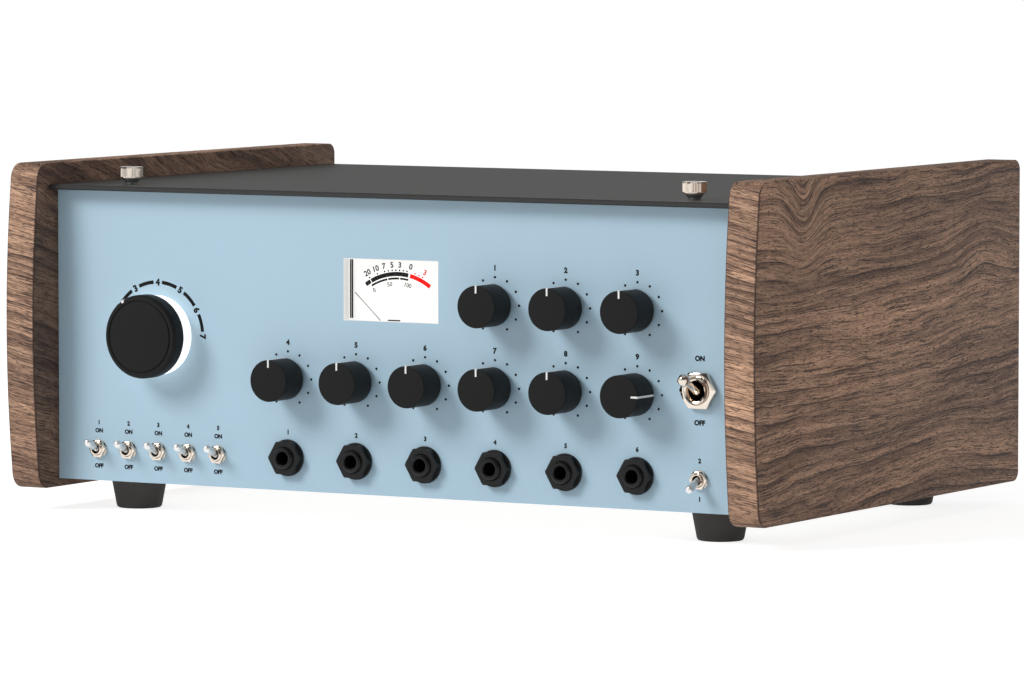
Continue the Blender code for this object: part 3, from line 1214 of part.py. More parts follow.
def make_head_block():
    nose_y = TAPE_Y + TAPE_THICKNESS / 2 + CLEARANCE
    back_y = nose_y + HEAD_DEPTH
    half = HEAD_WIDTH / 2
    spread = math.degrees(math.asin(half / HEAD_NOSE_RADIUS))
    middle = (HEAD_COUNT - 1) / 2
    loops = []
    for index in range(HEAD_COUNT):
        x = HEAD_CENTRE_X + (index - middle) * HEAD_PITCH
        nose = arc((x, nose_y + HEAD_NOSE_RADIUS), HEAD_NOSE_RADIUS, 270 - spread, 270 + spread,
                   TAPE_ARC_STEPS)
        loops.append(nose + [(x + half, back_y), (x - half, back_y)])
    low = DECK_TOP_Z + CLEARANCE
    height = HEAD_PLATE_THICKNESS / 2 + HEAD_HEIGHT
    heads = outline_mesh("heads", loops, height)
    reach = middle * HEAD_PITCH + half + HEAD_PLATE_MARGIN
    plate = ((HEAD_CENTRE_X - reach, TAPE_Y + HEAD_PLATE_SETBACK, low),
             (HEAD_CENTRE_X + reach, back_y + HEAD_PLATE_MARGIN, low + HEAD_PLATE_THICKNESS))
    block = place("head_block", boxes_mesh("head_block", [plate]), (0, 0, 0), UPRIGHT, STEEL)
    middle_z = low + HEAD_PLATE_THICKNESS / 2 + height / 2
    boolean(block, tool("heads", heads, (0, 0, middle_z)), 'UNION')


def main():
    clear_scene()
    new_collection(PART)
    new_collection(TOOLS)
    holes = screw_holes()
    make_cheeks()
    make_front_panel(holes)
    make_tray()
    make_rear_panel()
    make_cover(holes)
    make_thumbscrews()
    make_feet()
    make_small_knobs()
    make_mode_knob()
    make_mode_collar()
    make_jacks()
    make_small_toggles()
    make_power_switch()
    make_meter()
    make_control_board()
    make_main_board()
    make_transformer()
    make_reverb_tank()
    make_mains_inlet()
    make_deck_plate()
    make_tape_loop()
    make_capstan()
    make_motor()
    make_pulley()
    make_belt()
    make_pinch_arm()
    make_pinch_roller()
    make_head_block()


main()
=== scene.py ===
"""Looks of the tape echo unit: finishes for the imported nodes, printed scales and fine visible pieces."""
import json
import math

import bmesh
import bpy
from bpy.props import FloatProperty, FloatVectorProperty, IntProperty, PointerProperty
from mathutils import Matrix, Vector


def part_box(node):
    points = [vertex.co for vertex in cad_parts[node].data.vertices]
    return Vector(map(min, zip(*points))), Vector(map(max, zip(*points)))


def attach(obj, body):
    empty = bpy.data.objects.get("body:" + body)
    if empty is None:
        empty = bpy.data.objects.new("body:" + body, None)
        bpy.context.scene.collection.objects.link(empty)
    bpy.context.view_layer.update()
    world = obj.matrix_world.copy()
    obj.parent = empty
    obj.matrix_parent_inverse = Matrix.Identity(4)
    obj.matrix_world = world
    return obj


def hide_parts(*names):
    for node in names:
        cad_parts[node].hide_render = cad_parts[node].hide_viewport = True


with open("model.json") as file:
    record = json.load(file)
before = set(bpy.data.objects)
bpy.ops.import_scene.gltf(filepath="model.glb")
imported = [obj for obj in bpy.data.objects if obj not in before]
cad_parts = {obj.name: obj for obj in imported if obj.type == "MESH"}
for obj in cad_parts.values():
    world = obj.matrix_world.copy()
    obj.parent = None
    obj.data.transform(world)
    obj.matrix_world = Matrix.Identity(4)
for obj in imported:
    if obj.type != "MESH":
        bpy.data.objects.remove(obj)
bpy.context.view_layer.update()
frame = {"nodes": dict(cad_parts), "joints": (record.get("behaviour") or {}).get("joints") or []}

bl_info = {
    "name": "Tape echo unit",
    "version": (1, 0, 0),
    "blender": (4, 5, 0),
    "location": "View3D > Sidebar > Tape Echo",
    "description": "Dresses the packed tape echo unit with its finishes, printing and small hardware",
    "category": "Add Mesh",
}

NODES = frame["nodes"]
PIVOTS = {joint["child"]: Vector(joint["pos_m"]) for joint in frame["joints"] if "pos_m" in joint}

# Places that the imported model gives
PANEL_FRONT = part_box("front_panel")[0].y
CHEEK_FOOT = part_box("left_cheek")[0].z
COVER_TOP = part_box("top_cover")[1].z

MILLIMETRE = 0.001
PANEL_BACK = -2.3  # Millimetres from the panel's front to the back of its sheet, where bought parts sit
THROW_DEG = 24  # Tilt of a switch's lever at rest
IN_PLACE = Matrix()
FACE_OUT = Matrix.Rotation(math.pi / 2, 4, 'X')

SMALL_KNOBS = ("bass_knob", "treble_knob", "feedback_knob", "input_volume_knob", "chorus_rate_knob",
               "chorus_depth_knob", "reverb_volume_knob", "speed_knob", "echo_volume_knob")
JACKS = ("input_jack", "speed_remote_jack", "feedback_remote_jack", "chorus_footswitch_jack",
         "echo_footswitch_jack", "output_jack")
UP_TOGGLES = ("direct_switch", "motor_switch", "sound_on_sound_switch", "echo_switch", "chorus_switch")
DOWN_TOGGLE = "output_level_switch"
FEET = ("foot_front_left", "foot_front_right", "foot_rear_left", "foot_rear_right")


def mm(*values):
    """Millimetres as metres: one length, a tuple of lengths or a tuple of points."""
    scaled = tuple(mm(*value) if isinstance(value, tuple) else value * MILLIMETRE for value in values)
    return scaled if len(scaled) > 1 else scaled[0]


# Sizes and colours that a user may change

def length(name, description, default):
    return FloatProperty(name=name, description=description, default=default, unit='LENGTH')


def colour(name, description, default):
    return FloatVectorProperty(name=name, description=description, default=default, size=3, subtype='COLOR')


class EchoSizes(bpy.types.PropertyGroup):
    ring_radius: length("Dot ring radius", "Radius of the dots round a knob", 0.013)
    dot_radius: length("Dot radius", "Radius of one printed dot", 0.00063)
    print_depth: length("Print thickness", "How far the ink stands off the paint", 0.00004)
    label_height: length("Label height", "Height of the numbers over the knobs", 0.0024)
    knurl_depth: length("Knurl depth", "Depth of the thumbscrews' knurling", 0.00016)
    round_steps: IntProperty(name="Round steps", description="Facets round a turned piece",
                             default=72, min=12)


class EchoColours(bpy.types.PropertyGroup):
    panel: colour("Panel paint", "Colour of the control panel", (0.43, 0.60, 0.72))
    cover: colour("Cover paint", "Colour of the cover and the rear panel", (0.059, 0.059, 0.057))
    wood_light: colour("Light wood", "Lightest colour in the walnut", (0.50, 0.342, 0.24))
    wood_dark: colour("Dark wood", "Colour of the walnut's dark streaks", (0.072, 0.042, 0.031))
    knob: colour("Knobs", "Colour of the knobs", (0.0115, 0.0115, 0.0115))
    ink: colour("Ink", "Colour of the printing on the panel", (0.005, 0.005, 0.005))
    glow: colour("Lamp glow", "Colour of the lit collar and dial", (1.0, 0.985, 0.955))


def sizes():
    return bpy.context.scene.echo_sizes


def chosen(name):
    """A colour as the user has it."""
    return tuple(getattr(bpy.context.scene.echo_colours, name))


# Finishes

class Num:
    """A number socket that takes part in sums."""

    def __init__(self, shading, socket):
        self.shading = shading
        self.socket = socket

    def apply(self, operation, *others):
        """This number, with the others that the operation takes, through a Math node."""
        values = dict(enumerate((self, *others)))
        return Num(self.shading, self.shading.node("ShaderNodeMath", values, operation=operation).outputs[0])

    def __add__(self, other):
        return self.apply('ADD', other)

    __radd__ = __add__

    def __sub__(self, other):
        return self.apply('SUBTRACT', other)

    def __rsub__(self, other):
        return self.apply('MULTIPLY_ADD', -1.0, other)

    def __mul__(self, other):
        return self.apply('MULTIPLY', other)

    def __truediv__(self, other):
        return self.apply('DIVIDE', other)

    def step(self, low, high):
        """0 below low, 1 above high and a soft step between them."""
        made = self.shading.node("ShaderNodeMapRange", {"Value": self, "From Min": low, "From Max": high},
                                 interpolation_type='SMOOTHSTEP')
        return Num(self.shading, made.outputs["Result"])


class Shading:
    """A shading tree that is being built: it makes nodes and hands back their sockets."""

    def __init__(self, holder):
        holder.use_nodes = True
        self.tree = holder.node_tree

    def feed(self, socket, value):
        if isinstance(value, Num):
            value = value.socket
        if isinstance(value, bpy.types.NodeSocket):
            self.tree.links.new(value, socket)
        else:
            socket.default_value = value

    def node(self, kind, values=None, **settings):
        """A node with its settings made first, then the values or links of its sockets."""
        made = self.tree.nodes.new(kind)
        for key, value in settings.items():
            setattr(made, key, value)
        for key, value in (values or {}).items():
            self.feed(made.inputs[key], value)
        return made

    def noise(self, size, detail=2.0, rough=0.5, vector=None):
        """Noise over object coordinates or a vector; one feature's size is in millimetres."""
        size = size if isinstance(size, tuple) else (size, size, size)
        vector = vector or self.node("ShaderNodeTexCoord").outputs["Object"]
        where = self.node("ShaderNodeMapping", {"Vector": vector, "Scale": mm(*size)}, vector_type='TEXTURE')
        made = self.node("ShaderNodeTexNoise", {"Vector": where.outputs[0], "Scale": 1.0, "Detail": detail,
                                                "Roughness": rough})
        return Num(self, made.outputs[0])

    def axes(self, vector):
        parts = self.node("ShaderNodeSeparateXYZ", {0: vector}).outputs
        return [Num(self, part) for part in parts]

    def vector(self, x, y, z):
        return self.node("ShaderNodeCombineXYZ", {0: x, 1: y, 2: z}).outputs[0]

    def mix(self, factor, first, second, blend='MIX'):
        """One colour over another; a plain colour is given as three numbers."""
        pair = [(*shade, 1) if isinstance(shade, tuple) else shade for shade in (first, second)]
        made = self.node("ShaderNodeMix", {0: factor, 6: pair[0], 7: pair[1]},
                         data_type='RGBA', blend_type=blend)
        return made.outputs[2]

    def scaled(self, shade, factor):
        """A colour made lighter or darker by a number."""
        return self.mix(1.0, shade, self.vector(factor, factor, factor), 'MULTIPLY')

    def ramp(self, value, stops):
        """A colour from a row of stops, each a place and a colour."""
        made = self.node("ShaderNodeValToRGB", {0: value})
        row = made.color_ramp.elements
        while len(row) < len(stops):
            row.new(0.5)
        for stop, (position, shade) in zip(row, stops):
            stop.position = position
            stop.color = (*shade, 1)
        return made.outputs[0]


class Finish(Shading):
    """A material round one principled shader."""

    def __init__(self, name, base, roughness, metallic=0.0, specular=0.5, alpha=1.0):
        self.material = bpy.data.materials.new(name)
        super().__init__(self.material)
        self.shader = self.tree.nodes["Principled BSDF"]
        self.set("Base Color", (*base, 1))
        self.set("Roughness", roughness)
        self.set("Metallic", metallic)
        self.set("Specular IOR Level", specular)
        self.set("Alpha", alpha)

    def set(self, name, value):
        self.feed(self.shader.inputs[name], value)

    def bump(self, height, depth, strength=1.0):
        """Relief of a depth in millimetres."""
        made = self.node("ShaderNodeBump", {"Height": height, "Distance": mm(depth), "Strength": strength})
        self.set("Normal", made.outputs[0])

    def uneven_gloss(self, pattern, roughness, spread):
        """Roughness that a pattern spreads about its middle value."""
        self.set("Roughness", pattern * spread + (roughness - spread / 2))


def powder_coat(name, base, roughness, grain, depth, tint, edge=0.0):
    """Baked powder paint: an even colour over a pebbled skin; edge darkens what faces the front as painted
    shade.
    """
    finish = Finish(name, base, roughness)
    pebbles = finish.noise(grain, 3.0, 0.6)
    shade = pebbles * tint + finish.noise(60) * tint + (1 - tint)
    # Painted shade: the faces that look to the front are made darker by the share edge.
    if edge:
        front = finish.axes(finish.node("ShaderNodeTexCoord").outputs["Normal"])[1] * -1.0
        shade = shade * (1.0 - front.step(0.3, 0.8) * edge)
    finish.set("Base Color", finish.scaled(base, shade))
    finish.bump(pebbles, depth)
    finish.uneven_gloss(pebbles, roughness, 0.12)
    return finish.material


def blue_paint():
    return powder_coat("blue_paint", chosen("panel"), 0.46, grain=0.45, depth=0.012, tint=0.03)


def charcoal_paint():
    return powder_coat("charcoal_paint", chosen("cover"), 0.52, grain=0.5, depth=0.05, tint=0.16)


def cover_paint():
    """The cover's paint, with painted shade that darkens its faces towards the front."""
    return powder_coat("cover_paint", chosen("cover"), 0.52, grain=0.5, depth=0.05, tint=0.16, edge=0.8)


def walnut(name, face_x, lean, painted_shade, knots):
    """Oiled walnut: dark growth lines that flow round knots, with fine pores along the grain.

    A growth line keeps to one height over the board. That height leans along the depth, sways, and drops at
    each knot, which gives its middle, its reach and its drop. The board's broad face is at face_x, and a
    share of painted shade darkens what faces right.
    """
    light = chosen("wood_light")
    dark = chosen("wood_dark")
    black = (0.030, 0.022, 0.023)
    finish = Finish(name, light, 0.5, specular=0.1)
    place = finish.node("ShaderNodeTexCoord").outputs
    x, y, z = finish.axes(place["Object"])
    facing = finish.axes(place["Normal"])
    height = z + y * lean + (x - face_x) * 0.9
    for size, detail, sway in (((400, 210, 70), 1.0, 26), ((90, 46, 24), 2.0, 5.5), ((60, 11, 20), 1.0, 0.9)):
        height = height + (finish.noise(size, detail) - 0.5) * mm(sway)
    for middle_y, middle_z, reach_y, reach_z, drop in knots:
        far = ((y - middle_y) / reach_y).apply('POWER', 2.0)
        low = ((z - middle_z) / reach_z).apply('POWER', 2.0)
        height = height + ((far + low) * -1.0).apply('EXPONENT') * drop
    # The front and rear edges show the board's end, where the lines run straight across
    end_grain = facing[1].apply('ABSOLUTE').step(0.55, 0.75)
    end_height = z + x * 0.2 + (finish.noise((60, 60, 30)) - 0.5) * mm(6)
    height = height + (end_height - height) * end_grain
    flow = finish.vector(x + (y - x) * end_grain, y + (x - y) * end_grain, height)
    years = height * (end_grain * 0.8 + 1.0) / mm(7.5) + finish.noise((900, 300, 24), vector=flow) * 3.4
    season = years.apply('FRACT')
    line = 1.0 - season.step(0.04, 0.12)
    late = season.step(0.35, 1.0)
    strength = finish.noise((400, 90, 14), vector=flow).step(0.38, 0.62)
    bands = finish.noise((600, 260, 30), vector=flow)
    streaks = finish.noise((300, 100, 2.2), 3.0, 0.7, flow)
    fibre = finish.noise((1.2, 12, 0.6), 2.0, 0.7, flow)
    pores = finish.noise((1.2, 3.6, 0.36), 2.0, 0.55, flow).step(0.54, 0.61)
    dashes = finish.noise((1.4, 18, 0.5), 1.0, 0.5, flow).step(0.58, 0.63)
    arris = (facing[0] * facing[1]).apply('ABSOLUTE').step(0.12, 0.4)
    tones = [(at, tuple(share * a + (1 - share) * b for a, b in zip(light, dark)))
             for at, share in ((0.14, 0.06), (0.4, 0.46), (0.62, 0.86), (0.86, 1.25))]
    wood = finish.ramp(bands * 0.9 + streaks * 0.85 + fibre * 0.6 - 0.72, tones)
    wood = finish.mix(bands, wood, finish.mix(1.0, wood, (1.18, 0.98, 0.88), 'MULTIPLY'))
    # The last pair lays painted shade on the faces that look right.
    for share, shade in ((late * strength * 0.62, dark), (line * strength * 0.88, black),
                         (pores * 0.68, black), (dashes * 0.75, black), (arris * 0.7, black),
                         (facing[0].step(0.6, 0.9) * painted_shade, black)):
        wood = finish.mix(share, wood, shade)
    finish.set("Base Color", finish.scaled(wood, end_grain * 0.42 + 1.0))
    finish.set("Roughness", 0.5 + pores * 0.2 + fibre * 0.1)
    finish.bump(fibre * 0.4 - pores, 0.08, 0.7)
    return finish.material


def left_walnut():
    inner_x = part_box("left_cheek")[1].x
    return walnut("walnut_left", inner_x, lean=0.3, painted_shade=0.5, knots=[mm(-40, 120, 30, 30, 6)])


def right_walnut():
    outer_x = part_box("right_cheek")[1].x
    return walnut("walnut_right", outer_x, lean=-0.035, painted_shade=0.1,
                  knots=mm((-93, 152, 16, 24, 15), (100, 128, 26, 20, -7)))


def moulded(name, base, roughness, spread, patch, specular=0.5, grain=0.0, depth=0.0, detail=2.0, rough=0.5):
    """Moulded plastic or rubber: a gloss that varies in patches, over a fine grain if it has one."""
    finish = Finish(name, base, roughness, specular=specular)
    finish.uneven_gloss(finish.noise(patch, 3.0), roughness, spread)
    if grain:
        finish.bump(finish.noise(grain, detail, rough), depth)
    return finish.material


def knob_plastic():
    return moulded("knob_plastic", chosen("knob"), 0.5, spread=0.16, patch=3, specular=0.12,
                   grain=0.25, depth=0.006)


def jack_nylon():
    return moulded("jack_nylon", (0.0065, 0.0065, 0.0065), 0.42, spread=0.2, patch=2, specular=0.25,
                   grain=0.4, depth=0.008)


def foot_rubber():
    return moulded("foot_rubber", (0.068, 0.065, 0.061), 0.75, spread=0.2, patch=6, specular=0.2,
                   grain=0.5, depth=0.03, detail=4.0, rough=0.7)


def belt_rubber():
    return moulded("belt_rubber", (0.02, 0.02, 0.02), 0.6, spread=0.2, patch=4, grain=0.3, depth=0.01)


def component_black():
    return moulded("component_black", (0.02, 0.02, 0.024), 0.45, spread=0.2, patch=3)


def metal(name, base, roughness, scratch, depth, spread=0.1):
    """Bare or plated metal with fine drawn lines; scratch is the size of one line."""
    finish = Finish(name, base, roughness, 1.0)
    drawn = finish.noise(scratch, 3.0, 0.6)
    finish.uneven_gloss(drawn, roughness, spread)
    dull = tuple(0.82 * value for value in base)
    finish.set("Base Color", finish.mix(finish.noise(14, 3.0) * 0.7, base, dull))
    finish.bump(drawn, depth, 0.5)
    return finish.material


def nickel():
    return metal("nickel", (0.80, 0.71, 0.62), 0.12, scratch=0.5, depth=0.003, spread=0.06)


def satin_nickel():
    return metal("satin_nickel", (0.84, 0.84, 0.83), 0.44, scratch=(1.6, 0.25, 1.6), depth=0.004)


def zinc():
    return metal("zinc", (0.60, 0.60, 0.585), 0.42, scratch=(60, 0.5, 60), depth=0.006, spread=0.16)


def steel():
    return metal("steel", (0.50, 0.50, 0.50), 0.36, scratch=(0.4, 24, 24), depth=0.006, spread=0.14)


def brass():
    return metal("brass", (0.78, 0.58, 0.28), 0.28, scratch=(4, 4, 0.2), depth=0.005)


def flat_ink(name, base, roughness=0.5):
    finish = Finish(name, base, roughness, specular=0.15)
    finish.uneven_gloss(finish.noise(1), roughness, 0.2)
    return finish.material


def ink():
    return flat_ink("ink", chosen("ink"))


def red_ink():
    """Red ink with the dial's lamp behind it."""
    finish = Finish("red_ink", (0.6, 0.0, 0.0), 0.5, specular=0.1)
    finish.set("Emission Color", finish.mix(finish.noise(3), (0.9, 0.0, 0.0), (1.0, 0.02, 0.01)))
    finish.set("Emission Strength", 0.5)
    return finish.material


def white_inlay():
    return flat_ink("white_inlay", (0.86, 0.86, 0.84), 0.4)


# Painted shade: dark strips stand for the shade in the gap round the dial; the meter's small dark tab uses it
# too.
def dark_liner():
    return flat_ink("dark_liner", (0.035, 0.028, 0.025))


def needle_grey():
    return flat_ink("needle_grey", (0.42, 0.42, 0.42))


def glow(name, strength, body):
    """White plastic that glows: lit from behind for the collar and dial, a painted glow for the meter's case
    and liner; body is the lightness of the plastic itself.
    """
    lamp = chosen("glow")
    finish = Finish(name, tuple(body * value for value in lamp), 0.35)
    finish.set("Emission Color", finish.scaled(lamp, finish.noise(5) * 0.06 + 0.94))
    finish.set("Emission Strength", strength)
    return finish.material


def lit_collar():
    return glow("lit_collar", 0.85, 0.8)


def lit_dial():
    return glow("lit_dial", 0.86, 0.32)


# Painted light: the meter's case and liner glow on their own, as if lit by the dial's lamp.
def white_plastic():
    return glow("white_plastic", 0.4, 0.5)


def clear_lens():
    finish = Finish("clear_lens", (0.1, 0.1, 0.1), 0.04, alpha=0.02)
    finish.uneven_gloss(finish.noise(20), 0.04, 0.04)
    return finish.material


def circuit_board():
    finish = Finish("circuit_board", (0.02, 0.16, 0.06), 0.36)
    tracks = finish.noise((7, 2.2, 7), 1.0).step(0.48, 0.52)
    finish.set("Base Color", finish.mix(tracks, (0.014, 0.105, 0.04), (0.035, 0.20, 0.085)))
    finish.uneven_gloss(tracks, 0.35, 0.1)
    finish.bump(tracks, 0.03)
    return finish.material


def tape_film():
    finish = Finish("tape_film", (0.10, 0.052, 0.030), 0.26, specular=0.6)
    bands = finish.noise((18, 18, 0.7), 3.0)
    finish.set("Base Color", finish.mix(bands, (0.075, 0.038, 0.022), (0.15, 0.08, 0.048)))
    finish.uneven_gloss(bands, 0.27, 0.14)
    return finish.material


def resistor_tan():
    finish = Finish("resistor_tan", (0.56, 0.40, 0.24), 0.5)
    bands = finish.noise((40, 1.3, 40), 0.0).step(0.5, 0.54)
    finish.set("Base Color", finish.mix(bands, (0.60, 0.44, 0.27), (0.20, 0.05, 0.03)))
    return finish.material


MAKERS = {maker.__name__: maker for maker in (
    blue_paint, charcoal_paint, cover_paint, left_walnut, right_walnut, knob_plastic, jack_nylon, foot_rubber,
    belt_rubber, component_black, nickel, satin_nickel, zinc, steel, brass, ink, red_ink, white_inlay,
    dark_liner, needle_grey, lit_collar, lit_dial, white_plastic, clear_lens, circuit_board, tape_film,
    resistor_tan)}
MADE = {}


def finish_of(name):
    """The material of that name, made when it is first asked for."""
    if name not in MADE:
        MADE[name] = MAKERS[name]()
    return MADE[name]


def dress(**finishes):
    """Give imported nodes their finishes, each node by its name."""
    for node, finish_name in finishes.items():
        item = NODES[node]
        if not item.material_slots:
            item.data.materials.append(None)
        for held in item.material_slots:
            held.material = finish_of(finish_name)


# Shapes

def in_scene(name, data):
    """A new object in the scene."""
    item = bpy.data.objects.new(name, data)
    bpy.context.scene.collection.objects.link(item)
    return item


def evaluated_mesh(item):
    """The plain mesh that an object's modifiers, or its text, come to."""
    graph = bpy.context.evaluated_depsgraph_get()
    return bpy.data.meshes.new_from_object(item.evaluated_get(graph))


def smoothed(mesh, sharp_deg=35):
    mesh.shade_smooth()
    mesh.set_sharp_from_angle(angle=math.radians(sharp_deg))
    return mesh


def settled(bm, sharp_deg=35):
    """A mesh from a bmesh, with its round parts smooth."""
    mesh = bpy.data.meshes.new("shape")
    bm.to_mesh(mesh)
    bm.free()
    return smoothed(mesh, sharp_deg)


def eased(points, radius, steps=3):
    """Round the inner corners of an open line of points by a radius."""
    points = [Vector(point) for point in points]
    line = [points[0]]
    for before, corner, after in zip(points, points[1:], points[2:]):
        back = before - corner
        ahead = after - corner
        reach = min(radius, back.length * 0.45, ahead.length * 0.45)
        start = corner + back.normalized() * reach
        end = corner + ahead.normalized() * reach
        for index in range(steps + 1):
            t = index / steps
            line.append(start * (1 - t) ** 2 + corner * (2 * t * (1 - t)) + end * t ** 2)
    line.append(points[-1])
    return [tuple(point) for point in line]


def turned(profile, steps=None, closed=False):
    """Turn (radius, height) points about Z into a closed mesh."""
    bm = bmesh.new()
    verts = [bm.verts.new((radius, 0, height)) for radius, height in profile]
    pairs = list(zip(verts, verts[1:]))
    if closed:
        pairs.append((verts[-1], verts[0]))
    edges = [bm.edges.new(pair) for pair in pairs]
    bmesh.ops.spin(bm, geom=verts + edges, cent=(0, 0, 0), axis=(0, 0, 1), angle=math.tau,
                   steps=steps or sizes().round_steps)
    bmesh.ops.remove_doubles(bm, verts=bm.verts, dist=0.000001)
    bmesh.ops.recalc_face_normals(bm, faces=bm.faces)
    return settled(bm)


def tube(bore, radius, bottom, top):
    """The closed profile of a plain ring."""
    return [(bore, top), (radius, top), (radius, bottom), (bore, bottom)]


def thread(radius, low, high, pitch, depth):
    """Profile points of a thread's ridges, from the top down."""
    points = []
    count = max(1, int((high - low) / pitch))
    for index in range(count):
        top = high - (high - low) * index / count
        bottom = high - (high - low) * (index + 1) / count
        points += [(radius, top), (radius - depth, (top + bottom) / 2)]
    points.append((radius, low))
    return points


def block(size, centre=(0, 0, 0), round_by=0.0, steps=2):
    """A box with rounded edges."""
    bm = bmesh.new()
    bmesh.ops.create_cube(bm, size=1, matrix=Matrix.Translation(centre) @ Matrix.Diagonal((*size, 1)))
    if round_by:
        bmesh.ops.bevel(bm, geom=list(bm.edges), offset=round_by, segments=steps, profile=0.5,
                        affect='EDGES')
    return settled(bm)


def slab(points, thickness, round_by=0.0):
    """A flat plate over an outline of (x, y) points, from height 0 up to its thickness."""
    bm = bmesh.new()
    base = bm.faces.new([bm.verts.new((x, y, 0)) for x, y in points])
    raised = bmesh.ops.extrude_face_region(bm, geom=[base])
    moved = [item for item in raised["geom"] if isinstance(item, bmesh.types.BMVert)]
    bmesh.ops.translate(bm, verts=moved, vec=(0, 0, thickness))
    bmesh.ops.recalc_face_normals(bm, faces=bm.faces)
    if round_by:
        rims = [edge for edge in bm.edges if edge.calc_face_angle(0) > math.radians(50)]
        bmesh.ops.bevel(bm, geom=rims, offset=round_by, segments=3, profile=0.5, affect='EDGES')
    return settled(bm)


def arc(centre, radius, start_deg, end_deg, steps):
    """Points along an arc, anticlockwise from the first axis."""
    angles = [math.radians(start_deg + (end_deg - start_deg) * index / steps) for index in range(steps + 1)]
    return [(centre[0] + radius * math.cos(angle), centre[1] + radius * math.sin(angle)) for angle in angles]


def ring_part(radius, width, start_deg, end_deg, thickness):
    """A curved stroke; its angles are clockwise from the top, as on a dial."""
    steps = max(4, int(abs(end_deg - start_deg)))
    outer = arc((0, 0), radius + width / 2, 90 - start_deg, 90 - end_deg, steps)
    inner = arc((0, 0), radius - width / 2, 90 - end_deg, 90 - start_deg, steps)
    return slab(outer + inner, thickness)


def carved(shape, other, operation='DIFFERENCE'):
    """One mesh cut by another, or kept inside it."""
    pair = [in_scene("carving", mesh) for mesh in (shape, other)]
    cut = pair[0].modifiers.new("carve", 'BOOLEAN')
    cut.operation = operation
    cut.solver = 'EXACT'
    cut.object = pair[1]
    result = evaluated_mesh(pair[0])
    for item in pair:
        bpy.data.objects.remove(item, do_unlink=True)
    return smoothed(result)


def hex_nut(flats, back, front, bore, sink, face=0.95):
    """A hexagonal nut about Z; sink chamfers its bore, and face is its round face's share of the flats."""
    corner = flats / math.sqrt(3)
    place = Matrix.Translation((0, 0, (front + back) / 2)) @ Matrix.Rotation(math.pi / 6, 4, 'Z')
    bm = bmesh.new()
    bmesh.ops.create_cone(bm, cap_ends=True, segments=6, radius1=corner, radius2=corner,
                          depth=front - back, matrix=place)
    inscribed = flats / 2 * face
    wide = corner * 1.02
    fall = (wide - inscribed) * math.tan(math.radians(30))
    cone = turned([(bore, front - sink), (bore + sink, front), (inscribed, front), (wide, front - fall),
                   (wide, back), (bore, back)], closed=True)
    return carved(settled(bm), cone, 'INTERSECT')


def words(text, height, thickness, bold=0.085):
    """Text as a flat mesh, centred on its own middle, with its capitals at a height."""
    curve = bpy.data.curves.new("words", 'FONT')
    curve.body = text
    curve.size = height / 0.7
    curve.extrude = thickness / 2
    curve.offset = bold * height
    curve.resolution_u = 4
    item = in_scene("words", curve)
    mesh = evaluated_mesh(item)
    bpy.data.objects.remove(item, do_unlink=True)
    corners = [vert.co for vert in mesh.vertices]
    low = Vector([min(co[axis] for co in corners) for axis in range(3)])
    high = Vector([max(co[axis] for co in corners) for axis in range(3)])
    middle = (low + high) / 2
    mesh.transform(Matrix.Translation((-middle.x, -middle.y, -low.z)))
    bm = bmesh.new()
    bm.from_mesh(mesh)
    bmesh.ops.remove_doubles(bm, verts=bm.verts, dist=0.000001)
    return settled(bm)


class Piece:
    """One object that is put together from shapes, each with its finish and place."""

    def __init__(self, name):
        self.name = name
        self.bm = bmesh.new()
        self.finishes = []

    def add(self, finish_name, place, *shapes):
        if finish_name not in self.finishes:
            self.finishes.append(finish_name)
        number = self.finishes.index(finish_name)
        for shape in shapes:
            copy = shape.copy()
            copy.transform(place)
            copy.polygons.foreach_set("material_index", [number] * len(copy.polygons))
            self.bm.from_mesh(copy)
            bpy.data.meshes.remove(copy)
        return self

    def done(self, body, slot=None, replaces=None):
        mesh = bpy.data.meshes.new(self.name)
        self.bm.to_mesh(mesh)
        self.bm.free()
        for finish_name in self.finishes:
            mesh.materials.append(finish_of(finish_name))
        item = in_scene(self.name, mesh)
        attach(item, body)
        if replaces:
            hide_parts(replaces)


def on_panel(x, z, clockwise_deg=0.0):
    """Where a shape modelled facing +Z, with +Y up, goes on the front of the panel."""
    place = Matrix.Translation((x, PANEL_FRONT, z)) @ FACE_OUT
    return place @ Matrix.Rotation(-math.radians(clockwise_deg), 4, 'Z')


def at_pivot(body, clockwise_deg=0.0):
    return on_panel(PIVOTS[body].x, PIVOTS[body].z, clockwise_deg)


def upright(spot, z=0.0):
    """Where a shape modelled along +Z goes when it stands over a spot."""
    return Matrix.Translation((spot.x, spot.y, z))


def middle_of(node):
    low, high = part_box(node)
    return (low + high) / 2


# Repeated pieces, made with Geometry Nodes

